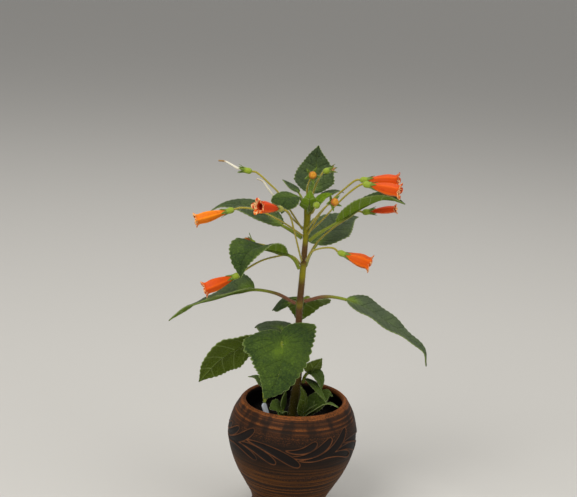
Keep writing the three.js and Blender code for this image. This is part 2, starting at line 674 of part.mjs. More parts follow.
function corollaSolid(seat, mouth, diameter) {
  const length = vector(seat).distanceTo(vector(mouth));
  const wide = diameter / 2;
  const rings = [
    [1.7, 0], [1.85, 0.08 * length], [0.62 * wide, 0.25 * length], [0.9 * wide, 0.5 * length],
    [wide, 0.7 * length], [0.9 * wide, 0.87 * length], [1.25 * wide, length, 0.95 * wide, 0.95 * length],
    [0.74 * wide, 0.93 * length], [0.68 * wide, 0.8 * length],
  ];
  return toSolid(aimed(bell(rings, 5, [0, 1, 1]), seat, mouth));
}

function budSolid(seat, tip) {
  const rings = [[1.2, 0.75], [2.3, 1.85], [2.9, 3.6], [2.6, 5.2], [1.5, 6.3]];
  return toSolid(aimed(bell(rings, 8, [1]), seat, tip));
}

function spreadCalyx(seat, tip) {
  const rings = [
    [0.9, -3], [1.9, -2], [2.2, -0.6], [4.8, 2.4, 2.5, 0], [4, 2.9, 1.6, 0.4], [1, 0.1],
  ];
  return toSolid(aimed(bell(rings), seat, tip));
}

function budCalyx(stalk, seat, tip) {
  const inside = vector(seat).lerp(vector(tip), -0.35).toArray();
  return rod([...stalk, inside], [BUD_STALK, BUD_STALK], 5, 5).add(spreadCalyx(seat, tip));
}

// An old style, standing on the floor of its calyx
function styleSolid(seat, tip, route) {
  const direction = vector(tip).sub(vector(seat)).normalize();
  const foot = vector(seat).addScaledVector(direction, CLEARANCE / 2);
  return rod([foot.toArray(), ...route], [0.65, 0.6, 0.65], 6, 7);
}

function greenBud() {
  const { stalk, seat, tip } = GREEN_BUD;
  const route = besideStem([...stalk, seat, tip], BUD_STALK);
  return rod(route, [BUD_STALK, BUD_STALK], 5, 5).add(budSolid(seat, tip));
}

// Plant label: a plain strip with a round top and a pointed foot
function labelSolid(grow = 0) {
  const { width, thickness, length, top, lean, turn } = LABEL;
  const half = width / 2 + grow;
  const strip = new THREE.Shape();
  strip.moveTo(-half, -half);
  strip.lineTo(-half, 8 - length);
  strip.lineTo(0, -length - grow);
  strip.lineTo(half, 8 - length);
  strip.lineTo(half, -half);
  strip.absarc(0, -half, half, 0, Math.PI, false);
  const depth = thickness + 2 * grow;
  const plate = new THREE.ExtrudeGeometry(strip, { depth, bevelEnabled: false, curveSegments: 5 });
  plate.translate(0, grow, -depth / 2).rotateX(Math.PI / 2).rotateZ(THREE.MathUtils.degToRad(turn));
  plate.rotateY(THREE.MathUtils.degToRad(-lean)).translate(...top);
  return toSolid(plate);
}

addPiece('pot', potSolid(), COLOUR.clay, 0.6);
addPiece('main_stem', rod(STEM_ROUTE, STEM_RADII, 8, 26), COLOUR.stem);
addPiece('plant_label', labelSolid(), COLOUR.label, 0.4);
for (const [name, leaf] of Object.entries(LEAVES)) {
  const stalk = besideStem(leaf.stalk, (leaf.stalkRadii ?? LEAF_STALK)[0]);
  addPiece(name, leafSolid({ ...leaf, stalk }), YOUNG.has(name) ? COLOUR.youngLeaf : COLOUR.leaf);
}

const holes = [stemHole(STEM_ROUTE, STEM_RADII[0]), labelSolid(CLEARANCE)];
const smallLeaf = { stalkRadii: [0.8, 0.7, 0.5], stalkSides: 4, stalkSteps: 2, plain: true, fold: 14 };
for (const [name, { stem, leaves }] of Object.entries(SHOOTS)) {
  const inSoil = stem.route[0][2] < SOIL_TOP;
  const route = inSoil ? stem.route : besideStem(stem.route, stem.radii[0]);
  const blades = leaves.map((leaf) => leafSolid({ ...smallLeaf, ...leaf }));
  addPiece(name, joined([rod(route, stem.radii, 6, 4), ...blades]), COLOUR.youngLeaf);
  if (inSoil) holes.push(stemHole(route, stem.radii[0]));
}
addPiece('soil', soilSolid(holes), COLOUR.soil, 0.95);

for (const [name, { stalk, seat, mouth, diameter, colour = 'corolla' }] of Object.entries(BLOOMS)) {
  const route = besideStem(stalk, FLOWER_STALK[0]);
  addPiece(`${name}_calyx`, heldBy(route, seat, mouth), COLOUR.calyx);
  addPiece(`${name}_corolla`, corollaSolid(seat, mouth, diameter), COLOUR[colour], 0.5);
}
for (const [name, { stalk, seat, tip }] of Object.entries(BUDS)) {
  addPiece(`${name}_calyx`, budCalyx(besideStem(stalk, BUD_STALK), seat, tip), COLOUR.calyx);
  addPiece(name, budSolid(seat, tip), COLOUR.bud);
}
for (const [name, { stalk, seat, tip, style }] of Object.entries(FRUITS)) {
  addPiece(`${name}_calyx`, heldBy(besideStem(stalk, FLOWER_STALK[0]), seat, tip, 0.8), COLOUR.calyx);
  if (style) addPiece(`${name}_style`, styleSolid(seat, tip, style), COLOUR.style);
}
addPiece('bud_green', greenBud(), COLOUR.calyx);

export default kohleria;
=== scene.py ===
import math

import bpy
import numpy as np
from mathutils import Matrix, Vector


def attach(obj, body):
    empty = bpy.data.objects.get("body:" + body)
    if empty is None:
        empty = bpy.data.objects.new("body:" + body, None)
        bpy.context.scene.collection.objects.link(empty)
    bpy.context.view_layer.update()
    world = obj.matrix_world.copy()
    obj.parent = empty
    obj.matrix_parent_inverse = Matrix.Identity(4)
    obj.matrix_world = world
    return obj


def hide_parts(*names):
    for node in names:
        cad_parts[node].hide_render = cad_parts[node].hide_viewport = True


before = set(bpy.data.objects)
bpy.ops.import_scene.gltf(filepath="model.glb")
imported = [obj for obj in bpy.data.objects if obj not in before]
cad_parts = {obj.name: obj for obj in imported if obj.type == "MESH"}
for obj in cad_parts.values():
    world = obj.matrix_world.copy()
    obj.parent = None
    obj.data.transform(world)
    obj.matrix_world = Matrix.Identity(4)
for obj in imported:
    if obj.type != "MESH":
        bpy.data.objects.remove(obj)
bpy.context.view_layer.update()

bl_info = {
    "name": "Kohleria in a carved pot",
    "version": (1, 0, 0),
    "blender": (4, 5, 0),
    "location": "View3D > Sidebar > Kohleria",
    "description": "Leaves, blooms, stem and carved clay pot of a potted kohleria",
    "category": "Add Mesh",
}

# Lengths are in millimetres, and MM turns them into metres. CLEARANCE is the gap between a piece and
# what carries it
MM = 0.001
CLEARANCE = 0.3

# Where the random draws of each group start
SEEDS = dict(
    soil=5, stem=11, leaves=100, shoots=400, shoot_leaves=500, blooms=700, buds=900, fruits=950,
    green_bud=990,
)

# Pot: radius and height of the outer wall, the lip and the inner wall
POT_OUTSIDE = [
    (28.5, 0), (29.6, 2.5), (27.6, 8), (29, 15), (34.5, 25), (41.5, 38), (46.5, 52), (48.2, 64),
    (45.4, 78), (41.6, 85.5), (39.4, 88.8),
]
POT_LIP = [(37.8, 90), (36.2, 89.2)]
POT_INSIDE = [(36, 86), (40, 79.5), (42.6, 66), (39, 42), (22, 10)]
POT_RIM_TILT = 0.02
POT_STEPS = 430
OUTER_RINGS = 156
INNER_RINGS = 56
OUTSIDE_DEPTH = 1.2
INSIDE_DEPTH = 2.5
LIP_HEIGHT = 87.5

# Throwing lines near the rim and near the foot: their spacing, and the heights over which they fade
RIM_LINES = 2.9
RIM_LINES_FADE = (75, 80)
FOOT_LINES = 1.3
FOOT_LINES_FADE = (38, 52)

# Carved spray, repeated round the belly: angle in degrees from the front and height of each
# lobe's root, bend and end, and the lobe's width
CARVE_DEPTH = 1.1
CARVE_SHOWN = 0.5
CARVE_OUTLINE = 0.45
CARVE_TURNS = (0, 94, 180, 266)
CARVE_RADIUS = 47
MM_PER_DEGREE = math.pi * CARVE_RADIUS / 180
FAR = 9.0
CARVED_LOBES = [
    dict(root=(-65, 61.3), bend=(-50, 65), end=(-32.5, 56.8), width=4.8),
    dict(root=(-52, 64.6), bend=(-34, 68), end=(-14.5, 56.8), width=5.8),
    dict(root=(-43, 69), bend=(-17, 70), end=(6.5, 56), width=6.6),
    dict(root=(-5, 67.6), bend=(10, 65.5), end=(21, 72.8), width=4.8),
    dict(root=(0, 63.2), bend=(18, 61.5), end=(36.5, 74.2), width=5.4),
    dict(root=(7, 60.5), bend=(34, 59.5), end=(56, 77.8), width=6),
]

# Shades of the pot's outside by height: wear on the ridges, warm clay and speckles on the belly
RIDGE_WEAR = ((73, 0), (77, 0.3), (79, 0.5), (81, 1), (83, 0.7), (86, 1), (90, 1))
WARMTH = ((0, 1), (20, 1), (44, 0.75), (56, 0.05))
SPECKLES = ((70, 0), (73, 0.7), (76, 0.7), (79, 0))

# Soil and label
SOIL_TOP = 74
SOIL_CROWN = 1.4
SOIL_LUMPS = 90
SOIL_WALL_ROWS = 40
LABEL = dict(
    width=4.2, thickness=1.2, length=42, point=8, bevel=0.2, top=(-22.5, -24, 93.5), lean=19, turn=55,
)

# Blades: their mesh, veins, quilting and teeth
ROWS_PER_TOOTH = 6
COLUMNS_PER_HALF = 14
VEINS_PER_TOOTH = 0.8
VEIN_SLOPE = 0.55
RIB_GROOVE = 0.9
FULL_QUILTING_WIDTH = 30
BLADE_THICKNESS = 0.6
TOOTH_REACH = 0.028

# What a leaf's own line doesn't say. "lobe", "widest", "shoulder" and "taper" are shares of its size,
# "grey" is how far its upper face is greyed by its hairs' own colour and by painted sheen, and "bright" is
# how far light shines through it
LEAF = dict(
    stalk_radii=(1.3, 1.1, 0.8), lobe=0.04, widest=0.24, shoulder=0.3, taper=0.42, fold=12, arch=10,
    wave=0, skew=0, opening=0, roll=(0, 0), fine=1.0, grey=0, bright=0, red=0, young=False,
)
SMALL_LEAF = dict(stalk_radii=(0.8, 0.7, 0.5), fold=14, fine=0.8)

# Radii at even steps along a flower stalk, a bud's stalk and a style, and the sizes of calyxes and buds
FLOWER_STALK = (0.65, 0.6, 0.75)
BUD_STALK = (0.6, 0.6)
STYLE = (0.9, 0.85, 0.75, 0.6, 0.6)
BLOOM_CALYX = 0.82
FRUIT_CALYX = 0.8
BUD = 0.94
SMALL_BUD = 0.85

# Coats of hair: how many hairs, and their length as a share of the stem's
COATS = {
    "stem": (3200, 1), "shoot": (90, 0.8), "flower_stalk": (420, 1), "calyx": (160, 0.7),
    "corolla": (380, 0.45), "bud_stalk": (260, 0.8), "sepals": (80, 0.6), "bud": (200, 0.4),
    "green_stalk": (80, 0.6), "green_bud": (200, 0.5),
}
HAIR_SPREAD = 0.28
SHORTEST_HAIR = 0.55
LEAF_STALK_HAIR = 0.8
MARGIN_HAIR = dict(spread=0.35, shortest=0.5, longest=1.1, radius=0.045)
HAIRS_PER_MM = 5

# Main stem: its route, its radius at even steps along it, and how green it is at some heights
STEM_ROUTE = [
    (-0.4, 0, 62), (-0.3, 0, 79), (1, 0, 98), (1.8, 0, 108), (0.8, 0, 130), (-0.2, 0, 150),
    (-0.2, 0, 165), (0.2, 0, 178), (0.6, 0, 191), (1.1, 0, 212), (1.4, 0, 228), (1, 0, 239),
]
STEM_RADII = (4.2, 4.1, 3.3, 2.7, 2.5, 2.5, 2.4, 2.4, 2.3, 2.2, 2, 2.3, 2.8)
STEM_TIP = 1.8
STEM_GREEN = [
    (84, 0.4), (104, 0.2), (118, 0.1), (126, 0.1), (129, 0.5), (133, 0.1), (159, 0.1), (162, 0.5),
    (167, 0.1), (178, 0.15), (184, 0.8), (191, 0.85), (195, 0.15), (206, 0.15), (211, 0.9), (239, 1),
]

# Leaves: stalk from the stem to the blade, rib from the blade's base to its tip, angles in degrees
LEAVES = {
    "leaf_front_cordate": dict(
        stalk=[(-1, -3.4, 127), (-6.5, -11, 136)],
        rib=[
            (-11.8, -21, 139.5), (-10.8, -27, 134.3), (-11.2, -32.5, 128), (-13, -38, 118.5),
            (-16.6, -41.5, 111.5), (-21.6, -43, 104.4),
        ],
        width=54, teeth=12, lobe=0.23, widest=-0.25, taper=0.46, fold=16, arch=26, wave=1.2, skew=0.28,
    ),
    "leaf_lower_left": dict(
        stalk=[(-2.8, 1.2, 129), (-13, 6, 131)],
        rib=[(-26, 9, 130.5), (-40, 8, 125.5), (-57, 5, 115), (-72, 2, 97.5)], width=34, teeth=9,
        widest=0.42, taper=0.66, fold=8, arch=14, roll=(55, 60), wave=1, bright=0.2,
    ),
    "leaf_lower_back": dict(
        stalk=[(0.2, 3.2, 131), (-3.5, 8, 136.5)],
        rib=[(-11, 11, 138), (-19, 19, 140), (-27, 25, 138.5), (-33, 29, 133.5)], width=32, teeth=7,
        lobe=0.08, fold=10, arch=16, grey=0.5,
    ),
    "leaf_middle_left": dict(
        stalk=[(-3, 0, 163), (-18, -1, 170)],
        rib=[(-34.5, -2, 172.4), (-47, -3, 170), (-60, -4, 165), (-80, -6, 158), (-95, -8, 147)], width=38,
        teeth=10, lobe=0.02, widest=0.12, shoulder=0.1, taper=0.44, fold=46, arch=12, opening=44,
        roll=(-8, 31), wave=0.8, grey=0.35, bright=0.7, red=1,
    ),
    "leaf_middle_right": dict(
        stalk=[(2.8, 0, 165), (18, -2, 170)],
        rib=[
            (34, -3, 169), (48, -5, 164), (62, -7, 156), (78, -9, 146), (91.5, -11, 136), (94.5, -12, 124.5),
        ],
        width=30, teeth=12, lobe=0.01, widest=0.16, taper=0.36, fold=14, arch=8, roll=(9, 3), wave=0.8,
        grey=0.6, red=1,
    ),
    "leaf_middle_back": dict(
        stalk=[(0.6, 3.2, 163), (5, 11, 165)], rib=[(7, 18, 162), (6, 27, 159), (3, 34, 151), (0, 37, 137)],
        width=34, teeth=7, lobe=0.1, fold=8, arch=10, wave=0.8, bright=0.3,
    ),
    "leaf_middle_back_left": dict(
        stalk=[(-1.9, 2.8, 162), (-5.5, 8, 161.5)],
        rib=[(-8.5, 11, 159.5), (-12.5, 13.5, 158.5), (-17, 16, 155.5), (-20.3, 18, 151)], width=15.5,
        teeth=6, lobe=0.08, widest=0.4, fold=6, roll=(-32, -24),
    ),
    "leaf_upper_middle_left": dict(
        stalk=[(-2, -1.8, 190), (-5.6, -4.6, 196.5)],
        rib=[
            (-10.2, -7, 200.9), (-18, -10, 203.6), (-27, -14, 206), (-37, -20, 206), (-42.5, -27.5, 199.5),
            (-43, -33, 189),
        ],
        width=40, teeth=10, lobe=-0.03, widest=0.52, shoulder=0.06, taper=0.4, fold=24, arch=10,
        roll=(34, -20), bright=0.9,
    ),
    "leaf_upper_middle_right": dict(
        stalk=[(2.2, 2.4, 191), (5, 12, 197)],
        rib=[(11, 22, 205), (19, 33, 213), (30, 43, 219), (41, 50, 219.5)], width=40, teeth=9, lobe=0.08,
        fold=12, arch=10, grey=0.5,
    ),
    "leaf_upper_left": dict(
        stalk=[(-1.6, 0.8, 212), (-9, 4, 216)],
        rib=[(-18, 8, 220), (-32, 13, 227), (-47, 18, 230.4), (-60, 21, 229), (-70, 23, 223.4)], width=31,
        teeth=9, fold=8, arch=6, roll=(-7, -7), grey=0.2,
    ),
    "leaf_upper_right": dict(
        stalk=[(3.6, -1, 211), (10, -3.5, 217)],
        rib=[(24, -8, 228), (33.5, -10, 235.6), (44, -12, 242.4), (56, -15, 247.6), (69, -18, 245.4)],
        width=25, teeth=10, widest=0.36, taper=0.5, fold=34, arch=6, roll=(-13, 4), bright=1,
    ),
    "leaf_crown_back": dict(
        stalk=[(1.4, 2.2, 237), (2.4, 5.5, 240)],
        rib=[(4, 9, 244), (5, 13, 252), (6, 15, 262), (6, 14.5, 271), (6.5, 13, 278)], width=29, teeth=9,
        lobe=0.02, fold=10, arch=6, grey=0.4,
    ),
    "leaf_crown_front_left": dict(
        stalk=[(-0.8, -0.9, 237.5), (-2.8, -3, 240.5)],
        rib=[(-5.6, -5.2, 243), (-11, -9.5, 244), (-15, -14, 240.5), (-17.2, -17.2, 233)], width=22, teeth=6,
        widest=0.55, taper=0.5, fold=14, arch=8, roll=(-8, -8),
    ),
    "leaf_crown_left": dict(
        stalk=[(-0.4, 1.4, 234), (-2.4, 2.8, 239)], rib=[(-6, 4.5, 245), (-12, 7, 248.5), (-18, 9, 252.5)],
        stalk_radii=(0.9, 0.8, 0.6), width=11, teeth=5, fold=14, grey=0.3,
    ),
    "leaf_crown_right": dict(
        stalk=[(3.3, 0.8, 235.5), (6, 2, 238.5)],
        rib=[(10, 5, 241), (16, 8.5, 244.5), (22, 12, 246), (27, 14, 244.5)], stalk_radii=(0.9, 0.8, 0.6),
        width=11, teeth=5, fold=12, grey=0.3,
    ),
    "leaf_crown_young_upright": dict(
        stalk=[(1.3, -2.5, 231.5), (1.5, -5, 233.5)],
        rib=[(2, -8.5, 235), (2, -14, 240), (2, -16, 245.5), (2, -15, 251)], stalk_radii=(1, 0.9, 0.6),
        width=13.5, teeth=5, fold=14, arch=4, bright=1, young=True,
    ),
    "leaf_crown_young_right": dict(
        stalk=[(3.6, -1, 231.5), (4.6, -2.2, 233.8)],
        rib=[(5.4, -3.4, 237), (9.4, -5, 242), (14, -6, 245.8), (18.2, -6.5, 247.2)],
        stalk_radii=(1, 0.9, 0.6), width=11, teeth=5, fold=12, roll=(38, 38), bright=1, young=True,
    ),
}

# Basal shoots: a short stem and small leaves
SHOOTS = {
    "shoot_right": dict(
        route=[(5.6, -0.4, 102.4), (6.3, -0.6, 106), (8, -1.2, 110)], radii=(1.4, 1.1),
        leaves=[
            dict(
                stalk=[(7, -1, 108.5)], rib=[(9.5, -2, 111), (13, -3, 116), (18.5, -4, 123.5)], width=17,
                teeth=4, roll=(-38, -38),
            ),
            dict(
                stalk=[(7.5, -1, 109)],
                rib=[(10, -1.5, 111), (14.5, -3.5, 111.5), (18, -6, 107), (19.5, -8, 100)], width=14,
                teeth=4,
            ),
            dict(
                stalk=[(5.5, -1.5, 105)],
                rib=[(8, -4, 106.5), (13, -8, 104.5), (18, -11.5, 99.5), (24, -15, 93)], width=7.5, teeth=4,
            ),
        ],
    ),
    "shoot_front": dict(
        route=[(6, -6, 66), (6, -6, 75), (6.5, -6.5, 80)], radii=(1.5, 1.2),
        leaves=[
            dict(
                stalk=[(6, -6, 77)], rib=[(5.5, -8, 80), (7, -9.5, 89), (6.5, -10, 97), (3.5, -9, 103)],
                width=10, teeth=4, fold=22,
            ),
            dict(stalk=[(6, -6, 78)], rib=[(9, -7, 82), (12.5, -8, 86), (17, -8.5, 89)], width=6, teeth=3),
            dict(
                stalk=[(6, -6, 76)], rib=[(9, -9, 79), (16, -14, 86), (25, -20, 94.5), (32, -25, 94)],
                width=9, teeth=5, fold=20,
            ),
            dict(stalk=[(6, -6, 77)], rib=[(7, -3, 80), (11, 2, 87), (15, 7, 90)], width=13, teeth=4),
            dict(
                stalk=[(6, -6, 78)], rib=[(10, -3, 81), (18, 1, 89), (25, 4, 93.5), (29, 6, 90)], width=14,
                teeth=4, roll=(30, 40),
            ),
        ],
    ),
    "shoot_left": dict(
        route=[(-8, -5, 66), (-8, -5, 75), (-8, -5, 79)], radii=(1.4, 1.1),
        leaves=[
            dict(
                stalk=[(-8, -5, 77)], rib=[(-9, -6, 80), (-13, -8.5, 85.5), (-18, -12, 84.5)], width=14,
                teeth=4, roll=(-40, -40),
            ),
            dict(stalk=[(-8, -5, 77)], rib=[(-8, -8, 79), (-8, -12, 83), (-9, -15.5, 83)], width=7, teeth=3),
            dict(
                stalk=[(-8, -5, 78)], rib=[(-8, -4, 82), (-8, -4, 90), (-6.5, -5, 98)], width=7, teeth=4,
                fold=16,
            ),
        ],
    ),
    "shoot_back_left": dict(
        route=[(-22, 10, 66), (-22, 10, 75), (-23, 12, 86)], radii=(0.9, 0.7),
        leaves=[
            dict(stalk=[(-23, 11, 84)], rib=[(-24, 14, 92), (-29, 17, 98), (-36, 20, 97)], width=8, teeth=4),
            dict(stalk=[(-22, 10, 81)], rib=[(-20, 12, 86), (-17, 15, 91), (-13, 17, 92)], width=8, teeth=4),
        ],
    ),
}

# Blooms: the flower stalk's route up to the ovary, and where the corolla starts and ends
BLOOMS = {
    "bloom_right_upper": dict(
        stalk=[(3.2, -3, 216), (9.5, -6.5, 231), (17, -9, 242), (26, -13, 252.5), (34, -16, 260)],
        seat=(41, -17, 260.4), tip=(63, -22, 262), diameter=9.2, kind="corolla",
    ),
    "bloom_right_lower": dict(
        stalk=[(5, -2, 218), (12, -7, 228), (20, -13, 239.5), (28, -21, 250.5), (35.2, -26.4, 258)],
        seat=(42.4, -29, 259.2), tip=(63.2, -36, 257.2), diameter=9.2, kind="corolla",
    ),
    "bloom_left": dict(
        stalk=[(-2.2, -2, 214.5), (-12, -9, 223), (-24, -13, 230), (-34, -12, 233.5), (-46, -9.5, 234)],
        seat=(-55.5, -9, 230.8), tip=(-78, -14, 224.2), diameter=8.4, kind="corolla_orange",
    ),
    "bloom_front_left": dict(
        stalk=[(-1.4, -3.4, 196), (-3.4, -11, 206), (-7.6, -15, 221), (-10.5, -18, 231), (-13, -22, 236)],
        seat=(-19.6, -27, 238.6), tip=(-33.2, -44.4, 243), diameter=8.8, kind="corolla_red", faded=0.35,
    ),
    "bloom_right_slim": dict(
        stalk=[(3, 2.6, 194), (8.5, 8, 206), (21, 10, 219), (32, 8, 228), (38, 6.5, 233)],
        seat=(45.6, 5, 233.4), tip=(65, 2, 237.2), diameter=5.6, kind="corolla_red",
    ),
    "bloom_right_low": dict(
        stalk=[(2.4, -2.6, 196), (6, -6, 204), (13, -8, 207.6), (21.5, -8.2, 208)], seat=(29.2, -9, 204.2),
        tip=(48.2, -13, 199), diameter=10.4, kind="corolla_orange", redness=0.8,
    ),
    "bloom_left_low": dict(
        stalk=[
            (-2.6, 0.8, 193.5), (-6, 2, 197), (-11, 3, 198.4), (-19, 0.5, 197.4), (-30, -8, 195.6),
            (-40.5, -14, 190),
        ],
        seat=(-48.7, -15, 184.5), tip=(-69.4, -20, 175.6), diameter=9.8, kind="corolla",
    ),
}

# Buds and young fruits
BUDS = {
    "bud_crown": dict(
        stalk=[(1.2, -1.2, 237), (0.4, -3.2, 242), (0, -6, 250), (1.5, -8.5, 257)], seat=(2.6, -9.5, 260),
        tip=(3.2, -13, 261),
    ),
    "bud_right": dict(
        stalk=[(1.8, -3.8, 220), (7.5, -12, 231), (12.5, -20, 239.5)], seat=(17.6, -26, 245),
        tip=(19.2, -29, 246),
    ),
    "bud_left_back": dict(
        stalk=[(-2.2, 2.8, 192), (-12, 8, 198.4), (-25, 11, 202)], seat=(-38.2, 12, 204),
        tip=(-43.2, 12, 205),
    ),
}
GREEN_BUD = dict(stalk=[(3.1, -2.6, 230.4), (5, -8, 233.5)], seat=(6.6, -14.4, 239.4), tip=(6.9, -16, 240))
FRUITS = {
    "fruit_left": dict(
        stalk=[
            (-2.8, -1, 219), (-12, -3, 234), (-21, -3, 246), (-27, -2, 251), (-33, -1, 256),
            (-37.4, 0, 258.6),
        ],
        seat=(-44.6, 0, 259.4), tip=(-50.5, 0, 260.3),
        style=[(-49.5, 0, 260.2), (-54.6, 0, 262.8), (-59.2, 0, 264.9), (-64, 0, 265.2)], dried=1,
    ),
    "fruit_left_inner": dict(
        stalk=[(-2, 2.2, 219), (-8, 5, 224), (-14, 7, 230)], seat=(-20, 8, 236), tip=(-24, 8, 241),
        style=[(-24.5, 8, 241.4), (-28.4, 8, 246), (-32, 8, 250.6), (-36.4, 8, 252.2)], dried=0.3,
    ),
    "fruit_crown": dict(
        stalk=[(2, -0.6, 238), (4.6, -1.6, 246), (7, -3, 255), (9.4, -4, 260)], seat=(14.8, -5.2, 263.8),
        tip=(19.6, -7, 265.8),
    ),
}

# Flower forms: how sharp and how blunt their lobes are, and rings of radius and height at a lobe,
# then at a gap between lobes where that differs. A corolla's are shares of its half width and length
PETALS = 5
FORMS = {
    "calyx": dict(
        sharp=1, blunt=1.1, sides=60, rows=52, folds=0,
        rings=[
            (0, -6), (0.9, -6), (1.9, -5.3), (2.5, -4.2), (2.75, -3), (2.7, -1.8), (2.55, -0.8), (2.5, 0),
            (2.8, 1.4, 2.5, 0.6), (3.3, 3.8, 2.5, 1), (4.2, 6.8, 2.5, 1.1), (3.9, 6.7, 2.4, 1),
            (3.05, 3.6, 2.3, 0.8), (2.5, 1.0, 2.2, 0.3), (2.1, -0.3), (0, -0.3),
        ],
    ),
    "corolla": dict(
        sharp=2.6, blunt=0.6, sides=110, rows=90, folds=0.13,
        rings=[
            (0.56, 0.2), (0.76, 0.36), (0.95, 0.55), (1, 0.7), (0.93, 0.82), (0.92, 0.9, 0.88, 0.89),
            (1.12, 0.96, 0.86, 0.91), (1.4, 1, 0.86, 0.925), (1.36, 1.015, 0.82, 0.93),
            (1, 0.985, 0.76, 0.925), (0.7, 0.93, 0.66, 0.9), (0.58, 0.84), (0.5, 0.72), (0, 0.68),
        ],
    ),
    "bud": dict(
        sharp=2, blunt=1, sides=40, rows=32, folds=0.03,
        rings=[
            (0, 0.75), (1.2, 0.75), (2.3, 1.85), (2.8, 3.0), (2.9, 3.9), (2.6, 5.2), (1.5, 6.3), (0, 6.35),
        ],
    ),
    "sepals": dict(
        sharp=1, blunt=1.9, sides=60, rows=44, folds=0,
        rings=[
            (0, -3), (0.9, -3), (1.9, -2), (2.1, -0.6), (3.8, 1.0, 2.2, -0.1), (6.8, 3.3, 2.3, 0),
            (6.6, 3.5, 2.2, 0.1), (3.2, 1.4, 1.6, 0.2), (1, 0.1), (0, 0.1),
        ],
    ),
    "faded": dict(
        sharp=1.4, blunt=0.9, sides=50, rows=30, folds=0.12,
        rings=[
            (0, -0.2), (1.6, -0.2), (1.7, 1.5), (2.6, 4.2, 1.9, 2.6), (2.2, 4, 1.5, 2.4), (0.8, 2.2),
            (0, 2.2),
        ],
    ),
}

# Camera, from the photograph's view, in a picture 577 wide
PICTURE_WIDTH = 577
FOCAL_PIXELS = 1200
SENSOR_WIDTH = 36
CAMERA_PLACE = (-10.79, -840.717, 413.124)
CAMERA_PITCH = 13.9725
CAMERA_ROLL = 3.3

# Lamps and floor, in metres: each lamp's place and width, and the spot that they are aimed at
LAMPS = {
    "key": ((-0.9, -1.1, 1.5), 1.1), "fill": ((1.3, -0.7, 0.8), 1.4), "top": ((0.1, 0.5, 1.7), 1.2),
}
LAMP_AIM = (0, 0, 0.15)
LAMP_COLOUR = (1, 0.96, 0.9)
SKY_COLOUR = (1, 0.97, 0.93, 1)
FLOOR_WIDTH = 60


# Settings

def colour(name, description, *rgb):
    """A colour setting, from an 8-bit screen colour to the linear one that a shader takes."""
    shares = [channel / 255 for channel in rgb]
    linear = [v / 12.92 if v <= 0.04045 else ((v + 0.055) / 1.055) ** 2.4 for v in shares]
    return bpy.props.FloatVectorProperty(
        name=name, description=description, subtype="COLOR", size=3, min=0, max=1, default=linear,
    )


def amount(name, description, default, **options):
    """A setting for a number."""
    return bpy.props.FloatProperty(name=name, description=description, default=default, min=0, **options)


def size(name, description, millimetres):
    """A length setting in metres."""
    return amount(name, description, millimetres * MM, unit="LENGTH", precision=5)


class PotSettings(bpy.types.PropertyGroup):
    """Finish of the clay pot, the soil and the label."""
    smoke: colour("Smoked clay", "Dark clay over most of the pot", 30, 24, 21)
    warm: colour("Warm clay", "Brown clay low down on the pot", 94, 57, 23)
    wear: colour("Worn clay", "Orange-brown clay on the ridges and the lip", 138, 80, 38)
    outline: colour("Carved outline", "Raised edge of the carved lobes", 112, 68, 40)
    recess: colour("Carved recess", "Dark grey floor of the carved lobes", 27, 23, 22)
    # The inner wall is painted near-black: painted shade inside the pot
    inside: colour("Inside", "Inner wall of the pot", 18, 13, 11)
    # The soil's own dark brown, painted darker still as painted shade inside the pot
    soil: colour("Soil", "Damp potting soil", 17, 12, 10)
    grains: colour("Soil grains", "Pale grains in the soil", 120, 105, 84)
    label: colour("Label", "Blank plant label", 170, 178, 190)
    soiled: colour("Soiled label", "Faint dirt on the label", 150, 146, 136)
    outline_height: size("Outline height", "How far a carved lobe's outline stands out", 0.2)
    ridge_height: size("Ridge height", "Height of the throwing lines", 0.1)


class FoliageSettings(bpy.types.PropertyGroup):
    """Finish of the stem, leaves and shoots."""
    blade: colour("Blade", "Upper face of a grown leaf", 46, 68, 26)
    blade_light: colour("Light patches", "Brighter patches on a grown leaf", 78, 102, 32)
    # Greyed blade: the hairs' own pale grey together with painted sheen
    greyed: colour("Greyed blade", "Upper face greyed by its hairs", 92, 104, 84)
    # The young blade's yellow-green is partly its own and partly painted light shining through it; it also
    # paints lit lower faces
    young: colour("Young blade", "Upper face of a young leaf", 114, 148, 8)
    # The lower face's bright yellow-green is partly its own paler colour and partly painted light shining
    # through the blade
    underside: colour("Underside", "Lower face of a leaf", 84, 102, 20)
    # Painted light: a bright glow at the blade's base, where light shines through the blade
    painted_glow: colour("Leaf base", "Bright green where the blade meets its stalk", 118, 150, 34)
    vein: colour("Veins", "Veins seen from below and the blade's margin", 150, 170, 96)
    stalk: colour("Leaf stalk", "Green leaf stalk", 132, 146, 48)
    red_stalk: colour("Red leaf stalk", "Leaf stalk near the stem on the middle leaves", 122, 82, 60)
    stem_low: colour("Lower stem", "Reddish brown stem", 82, 42, 36)
    stem_high: colour("Upper stem", "Green stem near the crown", 144, 140, 26)
    hair: colour("Hair", "Fine hairs on the whole plant", 205, 208, 185)
    hair_length: size("Hair length", "Length of the stem's hairs", 1.3)
    quilting: size("Quilting", "How far a blade swells between its veins", 0.45)


